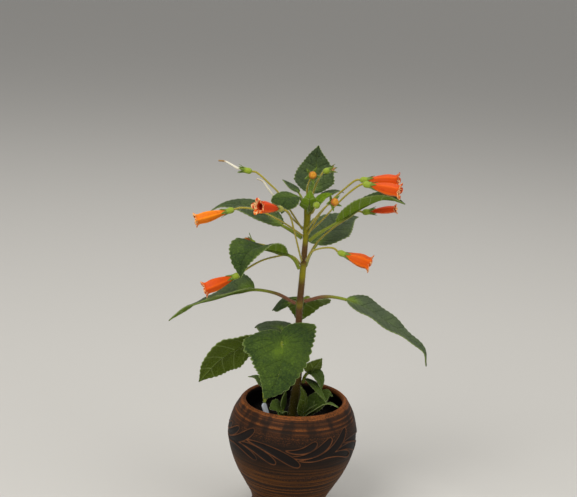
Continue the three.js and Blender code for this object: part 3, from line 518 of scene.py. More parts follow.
class FlowerSettings(bpy.types.PropertyGroup):
    """Finish of the blooms, buds and fruits."""
    corolla: colour("Red-orange corolla", "Outside of a red-orange corolla", 228, 90, 6)
    corolla_orange: colour("Orange corolla", "Outside of an orange corolla", 250, 142, 16)
    corolla_red: colour("Red corolla", "Outside of a red corolla", 224, 72, 12)
    corolla_foot: colour("Corolla's foot", "Where a corolla leaves its calyx", 226, 150, 40)
    corolla_hair: colour("Corolla's hair", "Down on a corolla", 240, 160, 100)
    # Deep red in the fold valleys is painted shade
    fold: colour("Folds", "Deep red between the folds of a corolla", 182, 44, 6)
    throat: colour("Throat", "Pale patches in the mouth of a corolla", 248, 214, 150)
    # The same dark red also paints the inside of the throat, as painted shade
    spots: colour("Spots", "Dark spots on the lips", 120, 12, 14)
    calyx: colour("Calyx", "Ovary and calyx", 144, 166, 44)
    sepal: colour("Sepals", "Dark green sepal tips", 88, 116, 38)
    flower_stalk: colour("Flower stalk", "Olive-yellow flower stalk", 158, 146, 48)
    bud: colour("Bud", "Orange-yellow bud", 214, 156, 36)
    bud_base: colour("Bud base", "Red-brown foot of a bud", 150, 58, 18)
    bud_hair: colour("Bud's hair", "Down on a bud", 230, 180, 110)
    faded: colour("Faded petals", "Brown remains of a fallen bloom", 150, 112, 60)
    style: colour("Style", "Old style on a young fruit", 232, 228, 210)
    style_tip: colour("Style tip", "Dried tip of the style", 150, 116, 64)


class StageSettings(bpy.types.PropertyGroup):
    """Floor, light and camera."""
    floor: colour("Floor", "Plain pale floor", 200, 200, 198)
    key_power: amount("Key light", "Power of the soft key light", 25, unit="POWER")
    fill_power: amount("Fill light", "Power of the soft fill and top lights", 9, unit="POWER")
    sky: amount("Sky light", "Strength of the even light all round", 0.38)


# Shader maths

class Wire:
    """A socket in a node tree, so that shader maths reads as Python."""

    def __init__(self, finish, socket):
        self.finish = finish
        self.socket = socket

    def maths(self, operation, *values, **settings):
        """A Math node on the values."""
        return self.finish.node("ShaderNodeMath", {"operation": operation, **settings}, *values)

    def __add__(self, other):
        return self.maths("ADD", self, other)

    def __sub__(self, other):
        return self.maths("SUBTRACT", self, other)

    def __rsub__(self, other):
        return self.maths("SUBTRACT", other, self)

    def __mul__(self, other):
        return self.maths("MULTIPLY", self, other)

    __radd__ = __add__
    __rmul__ = __mul__

    def fraction(self):
        """The part after the decimal point."""
        return self.maths("FRACT", self)

    def unsigned(self):
        """The value without its sign."""
        return self.maths("ABSOLUTE", self)

    def clamped(self):
        """The value held between 0 and 1."""
        return self.maths("ADD", self, 0.0, use_clamp=True)

    def step(self, low, high):
        """0 below low, 1 above high, smooth between."""
        settings = {"interpolation_type": "SMOOTHSTEP", "clamp": True}
        return self.finish.node("ShaderNodeMapRange", settings, self, low, high)


class Finish:
    """A material under construction."""

    def __init__(self, name, roughness=0.5, **constants):
        self.material = bpy.data.materials.new(name)
        self.material.use_nodes = True
        self.tree = self.material.node_tree
        self.shader = self.tree.nodes["Principled BSDF"]
        for socket, value in {"Roughness": roughness, **constants}.items():
            self.set(socket.replace("_", " "), value)

    def plug(self, socket, value):
        """A value or a link on a socket, or nothing for None."""
        if isinstance(value, Wire):
            self.tree.links.new(value.socket, socket)
        elif hasattr(value, "__len__") and len(value) < len(socket.default_value):
            socket.default_value = (*value, 1)
        elif value is not None:
            socket.default_value = value

    def set(self, name, value):
        """A value or a link on the shader's own socket."""
        self.plug(self.shader.inputs[name], value)

    def node(self, kind, settings, *values, output=0, **named):
        """A node of a type, with its settings, and its sockets by place or by name."""
        node = self.tree.nodes.new(kind)
        for key, value in settings.items():
            setattr(node, key, value)
        for key, value in [*enumerate(values), *named.items()]:
            self.plug(node.inputs[key], value)
        return Wire(self, node.outputs[output])

    def mix(self, share, first, second):
        """One colour turning into another. Five unused sockets stand before a Mix node's colours."""
        unused = [None] * 5
        return self.node("ShaderNodeMix", {"data_type": "RGBA"}, share, *unused, first, second, output=2)

    def place(self, stretch=(1, 1, 1)):
        """Object coordinates in metres, stretched."""
        coordinates = self.node("ShaderNodeTexCoord", {}, output="Object")
        return self.node("ShaderNodeMapping", {}, Vector=coordinates, Scale=stretch)

    def noise(self, scale, stretch=(1, 1, 1), detail=3.0):
        """A soft noise from 0 to 1, with its scale in repeats a metre."""
        return self.node("ShaderNodeTexNoise", {}, Vector=self.place(stretch), Scale=scale, Detail=detail)

    def cells(self, feature, scale):
        """Distances in a pattern of cells, with its scale in cells a metre."""
        return self.node("ShaderNodeTexVoronoi", {"feature": feature}, Vector=self.place(), Scale=scale)

    def data(self, name):
        """The three values of a piece's own attribute."""
        vector = self.node("ShaderNodeAttribute", {"attribute_name": name}, output="Vector")
        first = self.node("ShaderNodeSeparateXYZ", {}, vector)
        return [Wire(self, socket) for socket in first.socket.node.outputs]

    def done(self, base, relief=None, strength=1.0, depth=0.0):
        """The material, with its colour and the small relief of its surface."""
        self.set("Base Color", base)
        if relief:
            bump = self.node("ShaderNodeBump", {}, Strength=strength, Distance=depth, Height=relief)
            self.set("Normal", bump)
        return self.material


# Curves and directions

def between(start, end):
    """The way from one point to another."""
    return np.array(end, float) - np.array(start, float)


def unit(ways):
    """Directions of length 1."""
    return ways / np.linalg.norm(ways, axis=-1, keepdims=True)


def even(points, count):
    """Points spread evenly along a line of many points."""
    lengths = np.append(0, np.cumsum(np.linalg.norm(np.diff(points, axis=0), axis=1)))
    spots = np.linspace(0, lengths[-1], count)
    return np.stack([np.interp(spots, lengths, column) for column in points.T], 1)


def smooth_route(points, count):
    """Even points on the centripetal curve through the given ones."""
    p = np.array(points, float)
    p = np.vstack([2 * p[0] - p[1], p, 2 * p[-1] - p[-2]])
    spans = []
    t = np.linspace(0, 1, 40, endpoint=False)[:, None]
    for a, b, c, d in zip(p, p[1:], p[2:], p[3:]):
        before, here, after = (np.linalg.norm(end - start) ** 0.5 for start, end in ((a, b), (b, c), (c, d)))
        leave = ((b - a) / before - (c - a) / (before + here) + (c - b) / here) * here
        reach = ((c - b) / here - (d - b) / (here + after) + (d - c) / after) * here
        cube = 2 * (b - c) + leave + reach
        spans.append(b + t * leave + t**2 * (3 * (c - b) - 2 * leave - reach) + t**3 * cube)
    return even(np.vstack([*spans, p[-2]]), count)


def carried(tangents, start):
    """Directions square to the tangents, carried along them without twist."""
    kept = np.array(start, float)
    ups = []
    for tangent in tangents:
        kept = unit(kept - tangent * (kept @ tangent))
        ups.append(kept)
    return np.array(ups)


def smoothstep(values, low, high):
    """0 below low, 1 above high, smooth between."""
    share = np.clip((values - low) / (high - low), 0, 1)
    return share * share * (3 - 2 * share)


def by_height(height, pairs):
    """A value read from pairs of height and value."""
    return np.interp(height, *zip(*pairs))


# Meshes

def linked(name, data):
    """A new object in the scene."""
    thing = bpy.data.objects.new(name, data)
    bpy.context.scene.collection.objects.link(thing)
    return thing


def from_points(name, points, edges, faces):
    """A new piece from points in millimetres."""
    mesh = bpy.data.meshes.new(name)
    mesh.from_pydata((points * MM).tolist(), edges, faces)
    return linked(name, mesh)


def only(*pieces):
    """Select these objects alone and make the first the active one."""
    bpy.ops.object.select_all(action="DESELECT")
    for piece in pieces:
        piece.select_set(True)
    bpy.context.view_layer.objects.active = pieces[0]


def grid(columns, rows, place):
    """A grid primitive whose points are put in place by a formula of (across, along), each from 0 to 1."""
    bpy.ops.object.select_all(action="DESELECT")
    bpy.ops.mesh.primitive_grid_add(x_subdivisions=columns, y_subdivisions=rows, size=1)
    piece = bpy.context.object
    across, along, _ = np.clip(points_of(piece, 1) + 0.5, 0, 1).T
    set_points(piece, place(across, along))
    return piece


def points_of(piece, scale=MM):
    """A mesh's points in millimetres."""
    points = np.empty(len(piece.data.vertices) * 3, np.float32)
    piece.data.vertices.foreach_get("co", points)
    return points.reshape(-1, 3).astype(float) / scale


def set_points(piece, points):
    """Move a mesh's points, given in millimetres."""
    piece.data.vertices.foreach_set("co", (points * MM).astype(np.float32).ravel())
    piece.data.update()


def write(piece, name, *values):
    """A vector attribute on a mesh's points, from three values, each for all points or point by point."""
    count = len(piece.data.vertices)
    columns = [np.broadcast_to(np.asarray(value, np.float32), count) for value in values]
    attribute = piece.data.attributes.get(name) or piece.data.attributes.new(name, "FLOAT_VECTOR", "POINT")
    attribute.data.foreach_set("vector", np.stack(columns, 1).ravel())


def read(piece, name):
    """A vector attribute of a mesh's points."""
    values = np.empty(len(piece.data.vertices) * 3, np.float32)
    piece.data.attributes[name].data.foreach_get("vector", values)
    return values.reshape(-1, 3)


def merged(piece, distance=0.02, outwards=True):
    """Merge doubles, and turn the faces of a closed form outwards."""
    only(piece)
    bpy.ops.object.mode_set(mode="EDIT")
    bpy.ops.mesh.select_all(action="SELECT")
    bpy.ops.mesh.remove_doubles(threshold=distance * MM)
    if outwards:
        bpy.ops.mesh.normals_make_consistent(inside=False)
    bpy.ops.object.mode_set(mode="OBJECT")
    return piece


def with_modifier(piece, kind, **settings):
    """Add a modifier and apply it."""
    only(piece)
    modifier = piece.modifiers.new(kind.title(), kind)
    for key, value in settings.items():
        setattr(modifier, key, value)
    bpy.ops.object.modifier_apply(modifier=modifier.name)


def together(*pieces):
    """Join pieces into the first."""
    only(*pieces)
    bpy.ops.object.join()
    return pieces[0]


def finished(piece, name, material, angle=60):
    """Name a piece, give it its finish and let it stand for the CAD node it dresses."""
    piece.name = name + "_skin"
    piece.data.name = piece.name
    piece.data.materials.clear()
    piece.data.materials.append(material)
    only(piece)
    bpy.ops.object.shade_smooth_by_angle(angle=math.radians(angle))
    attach(piece, "root")
    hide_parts(name)


def tube(points, radii, sides=10, steps=40):
    """A round stalk along a curve, closed at both ends."""
    centres = smooth_route(points, steps + 1)
    tangents = unit(np.gradient(centres, axis=0))
    ups = carried(tangents, (0.3, 0.2, 0.93) if abs(tangents[0][2]) < 0.8 else (1, 0.1, 0))
    sides_of = np.cross(tangents, ups)
    widths = np.interp(np.linspace(0, 1, steps + 1), np.linspace(0, 1, len(radii)), radii)

    def place(across, along):
        row = np.rint(along * (steps + 2)).astype(int)
        station = np.clip(row - 1, 0, steps)
        width = np.where((row == 0) | (row == steps + 2), 0, widths[station])[:, None]
        angle = (2 * math.pi * across)[:, None]
        spoke = np.cos(angle) * ups[station] + np.sin(angle) * sides_of[station]
        return centres[station] + spoke * width

    return merged(grid(sides, steps + 2, place))


def hairs(roots, ways, lengths, radius=0.05, sunk=0.15):
    """Fine closed spikes, as one mesh, with their roots sunk in."""
    ways = unit(ways)
    side = unit(np.cross(ways, (0.31, 0.87, 0.38)))
    other = np.cross(ways, side)
    turns = np.radians((0, 120, 240))
    base = [roots - ways * sunk + (side * math.cos(a) + other * math.sin(a)) * radius for a in turns]
    tip = roots + ways * lengths[:, None]
    first = np.arange(len(roots))[:, None] * 4
    faces = np.concatenate([first + corner for corner in ((0, 2, 1), (0, 1, 3), (1, 2, 3), (2, 0, 3))], 0)
    piece = from_points("hairs", np.stack([*base, tip], 1).reshape(-1, 3), [], faces.tolist())
    write(piece, "tint", 0, 1, 0)
    return piece


def hairy(piece, count, share, foliage, seed):
    """A piece with hairs spread at random over its surface, as long as a share of the stem's."""
    mesh = piece.data
    mesh.calc_loop_triangles()
    corners = np.empty(len(mesh.loop_triangles) * 3, np.int32)
    mesh.loop_triangles.foreach_get("vertices", corners)
    a, b, c = points_of(piece)[corners.reshape(-1, 3)].transpose(1, 0, 2)
    square = np.cross(b - a, c - a)
    area = np.linalg.norm(square, axis=1)
    chance = np.random.default_rng(seed)
    chosen = chance.choice(len(area), count, p=area / area.sum())
    first, second = chance.random((2, count, 1))
    over = first + second > 1
    first, second = np.where(over, 1 - first, first), np.where(over, 1 - second, second)
    roots = a[chosen] + first * (b - a)[chosen] + second * (c - a)[chosen]
    ways = square[chosen] / area[chosen][:, None] + chance.normal(0, HAIR_SPREAD, (count, 3))
    lengths = foliage.hair_length * share / MM * chance.uniform(SHORTEST_HAIR, 1, count)
    return together(piece, hairs(roots, ways, lengths))


# Leaves

class Rib:
    """A leaf's rib, with the upright and sideways directions of its blade."""

    def __init__(self, rib, roll):
        self.centres = smooth_route(rib, 201)
        self.length = np.linalg.norm(np.diff(self.centres, axis=0), axis=1).sum()
        self.tangents = unit(np.gradient(self.centres, axis=0))
        turn = np.radians(np.linspace(roll[0], roll[1], 201))[:, None]
        ups = carried(self.tangents, (0, 0, 1))
        self.ups = ups * np.cos(turn) + np.cross(self.tangents, ups) * np.sin(turn)
        self.sides = np.cross(self.tangents, self.ups)

    def at(self, along):
        """Centre, upright and sideways vectors at distances along the rib, straight on past its ends."""
        spot = np.clip(along / self.length, 0, 1) * 200
        low = np.minimum(spot.astype(int), 199)
        share = (spot - low)[:, None]
        fields = (self.centres, self.ups, self.sides)
        centre, up, side = (field[low] * (1 - share) + field[low + 1] * share for field in fields)
        beyond = along - np.clip(along, 0, self.length)
        return centre + self.tangents[low] * beyond[:, None], up, side


def bezier(*corners):
    """Points on a cubic curve."""
    t = np.linspace(0, 1, 100)[:, None]
    weights = ((1 - t) ** 3, 3 * t * (1 - t) ** 2, 3 * t**2 * (1 - t), t**3)
    return sum(weight * np.array(corner, float) for weight, corner in zip(weights, corners))


def half_outline(length, leaf):
    """Half an outline from the stalk round the basal lobe to the tip, as across and along."""
    half = leaf["width"] / 2
    back, widest, shoulder = (leaf[key] * length for key in ("lobe", "widest", "shoulder"))
    meeting = 0.04 + max(back / length - 0.1, 0)
    lobe = bezier((0, 0), (-meeting * half, -1.5 * back), (0.5 * half, -1.6 * back), (half, widest))
    narrow = (leaf["taper"] * half, 0.74 * length)
    side = bezier((half, widest), (half, widest + shoulder), narrow, (0, length))
    return even(np.vstack([lobe, side[1:]]), 800)


def blade(leaf, seed, foliage):
    """A toothed blade with veins, quilting and a hairy margin, from the same values as its solid."""
    rib = Rib(leaf["rib"], leaf["roll"])
    outline = half_outline(rib.length, leaf)
    width, fine, wave = leaf["width"], leaf["fine"], leaf["wave"]
    teeth = 2 * leaf["teeth"]
    veins = leaf["teeth"] * VEINS_PER_TOOTH
    quilting = foliage.quilting / MM * min(1, width / FULL_QUILTING_WIDTH)
    rows, columns = int(teeth * ROWS_PER_TOOTH * fine), 2 * int(COLUMNS_PER_HALF * fine)

    def shape(u, q):
        """Points at u from base to tip and q from the left margin, -1, to the right one, 1."""
        edge = np.stack([np.interp(u, np.linspace(0, 1, 800), column) for column in outline.T], 1)
        q = np.where(edge[:, 0] < 0.001, 0, q)
        tooth = np.sin(math.pi * ((u * teeth) % 1) ** 1.4)
        reach = TOOTH_REACH * width * tooth * np.minimum(1, 5 * edge[:, 0] / width)
        start = np.clip(edge[:, 1] - VEIN_SLOPE * edge[:, 0], 0, rib.length)
        side = np.abs(q)
        along = start + (edge[:, 1] - start) * side + leaf["skew"] * edge[:, 0] * q * side
        centre, up, across = rib.at(along)
        out = (edge[:, 0] + reach * side**4) * q
        lean = np.radians(leaf["fold"] - leaf["arch"] * side - leaf["opening"] * u)
        swell = np.abs(np.sin(math.pi * u * veins)) ** 0.7
        swell = swell * np.sin(math.pi * np.clip(side * 1.02, 0, 1)) ** 0.5
        pucker = np.sin(side * width * 1.1 + 4 * np.sin(u * veins * 3)) * np.sin(u * veins * 6 * math.pi)
        relief = quilting * (swell - 0.5 + 0.18 * pucker) * smoothstep(1 - side, 0, 0.15)
        relief = relief - 0.5 * quilting * np.exp(-((out / RIB_GROOVE) ** 2))
        rise = np.abs(out) * np.sin(lean) + wave * q * q * np.sin(u * 19 + q * 2) * np.sin(math.pi * u)
        points = centre + across * (out * np.cos(lean))[:, None] + up * (rise + relief)[:, None]
        return points, across * np.sign(q)[:, None]

    sheet = grid(columns, rows, lambda across, along: shape(along, 2 * across - 1)[0])
    row, column = np.indices((rows + 1, columns + 1)).reshape(2, -1)
    u, q = row / rows, 2 * column / columns - 1
    # Where the painted glow of light through the blade lies, round a spot near the blade's base
    spot = rib.centres[0] + 0.1 * width * (rib.tangents[0] - 0.3 * rib.sides[0])
    painted_glow = np.exp(-((np.linalg.norm(shape(u, q)[0] - spot, axis=1) / (0.17 * width)) ** 2))
    write(sheet, "vein", u * veins, np.abs(q), 0)
    write(sheet, "shade", painted_glow, leaf["grey"], leaf["bright"])
    merged(sheet, 0.01, False)
    upper = len(sheet.data.vertices)
    with_modifier(sheet, "SOLIDIFY", thickness=BLADE_THICKNESS * MM, offset=0)
    phase, side, _ = read(sheet, "vein").T
    write(sheet, "vein", phase, side, np.arange(len(phase)) >= upper)
    merged(sheet, 0.001)

    chance = np.random.default_rng(seed)
    number = int(rib.length * HAIRS_PER_MM * fine)
    roots, ways = shape(chance.uniform(0.03, 0.995, number), chance.choice([-1.0, 1.0], number))
    ways = ways + chance.normal(0, MARGIN_HAIR["spread"], (number, 3))
    lengths = chance.uniform(MARGIN_HAIR["shortest"], MARGIN_HAIR["longest"], number)
    return [sheet, hairs(roots, ways, lengths, MARGIN_HAIR["radius"])], rib


def leaf_parts(leaf, stalk, seed, foliage):
    """A blade with its stalk, which runs on as the rib below the blade."""
    parts, rib = blade(leaf, seed, foliage)
    thick, middle, thin = leaf["stalk_radii"]
    drops = ((0, 0.35), (0.14, middle), (0.24, thin), (0.45, 0.7 * thin), (0.66, 0.35), (0.86, 0.3))
    below = []
    for share, drop in drops:
        centre, up, _ = rib.at(np.array([share * rib.length]))
        below.append(centre[0] - up[0] * drop)
    radii = (thick, thick, middle, middle, thin, 0.7 * thin, 0.5 * thin, 0.3 * thin, 0.25)
    rod = tube([*stalk, *below], radii, 10, 60)
    away = np.linalg.norm(points_of(rod) - np.array(stalk[0]), axis=1)
    away = away / max(np.linalg.norm(between(stalk[0], below[0])), 1)
    write(rod, "tint", leaf["red"] * (1 - smoothstep(away, 0.3, 0.9)), 0, 1 - smoothstep(away, 0.9, 1.25))
    write(rod, "vein", 0.5, 0.3, 1)
    count = int(HAIRS_PER_MM * rib.length * leaf["fine"])
    return [*parts, hairy(rod, count, LEAF_STALK_HAIR, foliage, seed + 1)]


def beside_stem(route, radius):
    """A stalk's route with its first point set right beside the main stem."""
    first, following = np.array(route[:2], float)
    x, _, heights = zip(*STEM_ROUTE)
    centre = np.array((np.interp(first[2], heights, x), 0, first[2]))
    share = (first[2] - heights[0]) / (heights[-1] - heights[0])
    climb = abs(unit(following - first)[2])
    apart = np.interp(share, np.linspace(0, 1, len(STEM_RADII)), STEM_RADII) + CLEARANCE + radius * climb
    return [tuple(centre + unit(first - centre) * apart), *route[1:]]


# Flowers

def bell(form, seat, tip, wide=1, tall=1):
    """A closed form with five lobes round the line from its seat to its tip."""
    sides, rows, folds = (form[key] for key in ("sides", "rows", "folds"))
    table = np.array([(*ring, *ring)[:4] for ring in form["rings"]], float)
    turn = Vector((0, 0, 1)).rotation_difference(Vector(between(seat, tip))).to_matrix()
    row, column = np.indices((rows + 1, sides + 1)).reshape(2, -1)
    angle = 2 * math.pi * column / sides
    across = (angle * PETALS / (2 * math.pi) + 0.5) % 1 * 2 - 1
    lobe = (1 - np.abs(across) ** form["sharp"]) ** form["blunt"]
    ring = smooth_route(table * (wide, tall, wide, tall), rows + 1)[row]
    valley = (0.5 - 0.5 * np.cos(PETALS * angle)) * 0.7 + (0.5 - 0.5 * np.cos(2 * PETALS * angle)) * 0.3
    radius = (ring[:, 2] + (ring[:, 0] - ring[:, 2]) * lobe) * (1 - folds * valley)
    height = ring[:, 3] + (ring[:, 1] - ring[:, 3]) * lobe
    points = np.stack([np.cos(angle) * radius, np.sin(angle) * radius, height], 1)
    piece = grid(sides, rows, lambda *_: points @ np.array(turn).T + np.array(seat))
    write(piece, "shape", height, row / rows, valley * (folds > 0))
    return merged(piece)


def corolla_form(bloom):
    """A folded tube that widens to five rounded lips round its throat."""
    seat, wide = bloom["seat"], bloom["diameter"] / 2
    axis = between(seat, bloom["tip"])
    tall = float(np.linalg.norm(axis))
    foot = [(0, 0), (1.5 / wide, 0), (1.7 / wide, 0.03)]
    form = {**FORMS["corolla"], "rings": [*foot, *FORMS["corolla"]["rings"]]}
    piece = bell(form, seat, bloom["tip"], wide, tall)
    reach = points_of(piece) - np.array(seat)
    spoke = reach - np.outer(reach @ axis, axis) / tall**2
    write(piece, "tint", bloom.get("redness", 0), 0, -spoke[:, 2] / wide)
    return piece


def stalk_form(route, radii, coat, foliage, seed, steps=40):
    """A hairy flower or bud stalk."""
    rod = tube(route, radii, 10, steps)
    write(rod, "tint", 1, 0, 0)
    write(rod, "shape", 0, 0, 0)
    return hairy(rod, *COATS[coat], foliage, seed)


def held(flower, scale, foliage, seed):
    """A flower stalk that ends in its ovary and calyx."""
    seat, tip = flower["seat"], flower["tip"]
    direction = unit(between(seat, tip))
    ends = [tuple(np.array(seat) + direction * reach * scale) for reach in (-5.4, -4)]
    route = [*beside_stem(flower["stalk"], FLOWER_STALK[0]), *ends]
    rod = stalk_form(route, FLOWER_STALK, "flower_stalk", foliage, seed, 60)
    cup = bell(FORMS["calyx"], seat, tip, scale, scale)
    write(cup, "tint", 0, 0, flower.get("faded", 0))
    return together(rod, hairy(cup, *COATS["calyx"], foliage, seed + 1))


# Finishes

def darker(rgb, share):
    """A colour with its brightness lowered to a share."""
    return [share * value for value in rgb]


def clay_finish(settings):
    """Smoked clay with worn ridges, a warm foot and dark carved lobes, and painted shade on its inner wall,
    which is near-black.
    """
    finish = Finish("smoked_clay", Specular_IOR_Level=0.08)
    gap, ridge, low = finish.data("carve")
    inside, band, lip = finish.data("zone")
    cloudy = finish.noise(26, (1, 1, 2.2), 4.0)
    smears = finish.noise(110, (1, 1, 0.35), 3.0)
    speckle = finish.noise(1100, (1, 1, 1.4), 2.0)
    grooves = finish.noise(16, (1, 1, 60), 3.0)
    rings = finish.noise(9, (1, 1, 130), 4.0)
    warmth = low * grooves.step(0.42, 0.56) * (0.55 + 0.45 * cloudy.step(0.35, 0.6))
    base = finish.mix((warmth + low * 0.12).clamped(), settings.smoke, settings.warm)
    worn = ridge * (0.15 + 0.75 * smears.step(0.4, 0.58)) * (0.3 + 0.7 * rings.step(0.44, 0.56))
    worn = worn * (0.55 + 0.45 * speckle.step(0.35, 0.6))
    worn = worn + band * speckle.step(0.52, 0.64) * 0.3
    worn = worn + low * rings.step(0.52, 0.62) * speckle.step(0.45, 0.6) * 0.4
    worn = worn + lip * (0.1 + 0.55 * speckle.step(0.3, 0.65))
    base = finish.mix(worn.clamped(), base, settings.wear)
    outline = 1 - (gap - 0.3).unsigned().step(0.05, 0.5)
    edge_wear = 0.25 + 0.35 * cloudy.step(0.4, 0.6) + 0.35 * smears.step(0.4, 0.6)
    base = finish.mix(outline * edge_wear, base, settings.outline)
    base = finish.mix((1 - gap.step(-0.35, 0.05)) * 0.92, base, settings.recess)
    finish.set("Roughness", 0.55 - 0.12 * cloudy + 0.14 * speckle)
    relief = grooves * (low * 1.2 + 0.2) + speckle * 0.3 + rings * 0.5
    # Painted shade: the inner wall is painted near-black
    return finish.done(finish.mix(inside, base, settings.inside), relief, 0.6, 0.0007)


def soil_finish(settings):
    """Damp dark soil with a few pale grains, darkened further as painted shade inside the pot."""
    finish = Finish("damp_soil", 0.9, Specular_IOR_Level=0.1)
    lumps = finish.noise(420, detail=5.0)
    grains = finish.noise(1500, detail=1.0)
    base = finish.mix(lumps.step(0.35, 0.7), darker(settings.soil, 0.45), settings.soil)
    base = finish.mix(grains.step(0.7, 0.74) * 0.5, base, settings.grains)
    return finish.done(base, lumps + grains * 0.4, 0.8, 0.0012)


def label_finish(settings):
    """Satin white plastic, a little soiled."""
    finish = Finish("label_plastic", 0.38)
    soiled = finish.noise(260, detail=4.0).step(0.5, 0.75)
    return finish.done(finish.mix(soiled * 0.35, settings.label, settings.soiled))


def leaf_finish(name, upper, light, settings):
    """A hairy blade, dark and creased above with painted shade in its veins, brighter and pale-veined below,
    partly painted light shining through.
    """
    finish = Finish(name, 0.6, Sheen_Weight=0.04, Sheen_Roughness=0.5, Specular_IOR_Level=0.14)
    phase, side, lower = finish.data("vein")
    red, hair, stalk = finish.data("tint")
    painted_glow, grey, bright = finish.data("shade")
    patches = finish.noise(60, detail=3.0)
    mottle = finish.noise(600, detail=4.0)
    from_vein = ((phase + 0.5).fraction() - 0.5).unsigned()
    line = (1 - from_vein.step(0.005, 0.07)) * (1 - side * 0.4)
    rib = 1 - side.step(0.0, 0.05)
    net = 1 - finish.cells("DISTANCE_TO_EDGE", 520.0).step(0.02, 0.14)
    top = finish.mix(patches.step(0.42, 0.66) * 0.55 + mottle.step(0.42, 0.62) * 0.4, upper, light)
    # Greyed by the hairs' own colour and by painted sheen
    top = finish.mix(grey * (0.7 + 0.3 * mottle), top, settings.greyed)
    # Painted shade: the sunken veins and the net between them are darker on the upper face
    top = finish.mix((line * 0.4 + net * 0.3).clamped(), top, darker(upper, 0.62))
    top = finish.mix(rib * 0.1, top, light)
    # Painted light: the glow at the blade's base, where light shines through it
    top = finish.mix(painted_glow * (0.25 + 0.45 * patches.step(0.4, 0.6)), top, settings.painted_glow)
    below = finish.mix(mottle.step(0.3, 0.7) * 0.5, settings.underside, darker(settings.underside, 0.55))
    # Painted light: where light shines through a leaf, its lower face turns towards the young leaves' bright
    # yellow-green
    below = finish.mix(bright * (0.7 + 0.3 * mottle), below, darker(settings.young, 0.85))
    veined = line * (0.5 + 0.3 * bright) + rib * 0.6 + net * 0.15
    below = finish.mix(veined.clamped(), below, settings.vein)
    base = finish.mix(lower, top, below)
    base = finish.mix(side.step(0.95, 1.0) * 0.5, base, settings.vein)
    base = finish.mix(stalk, base, settings.stalk)
    base = finish.mix(red, base, settings.red_stalk)
    base = finish.mix(hair, base, settings.hair)
    return finish.done(base, mottle - line * 0.6 - net * 0.6, 0.7, 0.0008)


def stem_finish(settings):
    """A hairy stem, reddish brown between its green knots and green near the crown, painted darker as shade
    towards its foot.
    """
    finish = Finish("stem_skin", 0.6, Sheen_Weight=0.04, Specular_IOR_Level=0.12)
    green, dark, _ = finish.data("shape")
    _, hair, _ = finish.data("tint")
    streaks = finish.noise(300, (1, 1, 0.12), 4.0)
    base = finish.mix(streaks.step(0.4, 0.75) * 0.5, settings.stem_low, darker(settings.stem_low, 0.6))
    base = finish.mix((green * (0.75 + 0.5 * streaks)).clamped(), base, settings.stem_high)
    # Painted shade: the stem and its hairs darken towards the soil, below the rim and under the lowest
    # leaves
    base = finish.mix(dark * 0.8, base, darker(settings.stem_high, 0.1))
    base = finish.mix(hair * (0.5 - 0.4 * dark), base, settings.hair)
    return finish.done(base, streaks, 0.4, 0.0005)


def calyx_finish(settings, foliage):
    """A bright ovary with darker sepals on an olive-yellow stalk, all hairy."""
    if "calyx_skin" in bpy.data.materials:
        return bpy.data.materials["calyx_skin"]
    finish = Finish("calyx_skin", 0.55, Sheen_Weight=0.05, Specular_IOR_Level=0.25)
    height, _, _ = finish.data("shape")
    stalk, hair, faded = finish.data("tint")
    mottle = finish.noise(900, detail=3.0)
    base = finish.mix(mottle.step(0.3, 0.7) * 0.35, settings.calyx, darker(settings.calyx, 0.6))
    base = finish.mix(height.step(-0.4, 1.6) * 0.8, base, settings.sepal)
    petals = finish.mix(mottle.step(0.45, 0.65) * 0.6, settings.faded, settings.throat)
    base = finish.mix(faded, base, petals)
    base = finish.mix(stalk, base, settings.flower_stalk)
    return finish.done(finish.mix(hair, base, foliage.hair), mottle, 0.3, 0.0004)


def corolla_finish(name, outside, settings):
    """A downy folded corolla with pale patches and dark spots on its lips, and painted shade in its fold
    valleys and its throat.
    """
    finish = Finish(name, 0.5, Sheen_Weight=0.02, Specular_IOR_Level=0.16)
    height, along, valley = finish.data("shape")
    redness, hair, low = finish.data("tint")
    streaks = finish.noise(380, detail=3.0)
    patches = finish.noise(520, detail=1.0)
    dots = finish.cells("F1", 850.0)
    base = finish.mix(redness, outside, settings.corolla)
    base = finish.mix(low.step(0.2, 1.0) * 0.55, base, settings.corolla_orange)
    # Painted shade in the valleys between the folds; the streaks are the corolla's own deep red
    base = finish.mix((valley * 0.5 + streaks.step(0.5, 0.75) * 0.2).clamped(), base, settings.fold)
    base = finish.mix((1 - height.step(0.5, 5.0)) * 0.35, base, settings.corolla_foot)
    lips = along.step(0.66, 0.69) * (1 - along.step(0.8, 0.86))
    base = finish.mix(lips * patches.step(0.46, 0.56) * 0.7, base, settings.throat)
    base = finish.mix((1 - dots.step(0.26, 0.4)) * lips, base, settings.spots)
    # Painted shade: the inside of the throat, past the lips, in the dark red of the spots
    base = finish.mix(along.step(0.82, 0.9) * 0.8, base, settings.spots)
    base = finish.mix(hair * 0.4, base, settings.corolla_hair)
    return finish.done(base, streaks - valley * 0.5, 0.25, 0.0005)


def bud_finish(settings):
    """A downy orange-yellow bud with a red-brown foot."""
    finish = Finish("bud_skin", 0.55, Sheen_Weight=0.05, Specular_IOR_Level=0.25)
    height, _, valley = finish.data("shape")
    _, hair, _ = finish.data("tint")
    mottle = finish.noise(700, detail=3.0)
    base = finish.mix((1 - height.step(3.0, 6.3)) * 0.85, settings.bud, settings.bud_base)
    base = finish.mix((mottle.step(0.4, 0.65) * 0.3 + valley * 0.3).clamped(), base, settings.bud_base)
    return finish.done(finish.mix(hair * 0.3, base, settings.bud_hair), mottle, 0.3, 0.0004)


def style_finish(settings):
    """A waxy white style, dried at its tip."""
    finish = Finish("style_skin", 0.4)
    dried, _, _ = finish.data("tint")
    finish.set("Roughness", 0.4 + 0.3 * dried)
    return finish.done(finish.mix(dried, settings.style, settings.style_tip))


def floor_finish(settings):
    """A plain pale floor."""
    finish = Finish("pale_floor", 0.8)
    soft = finish.noise(3, detail=2.0)
    return finish.done(finish.mix(soft * 0.1, settings.floor, darker(settings.floor, 0.94)))


# Operators

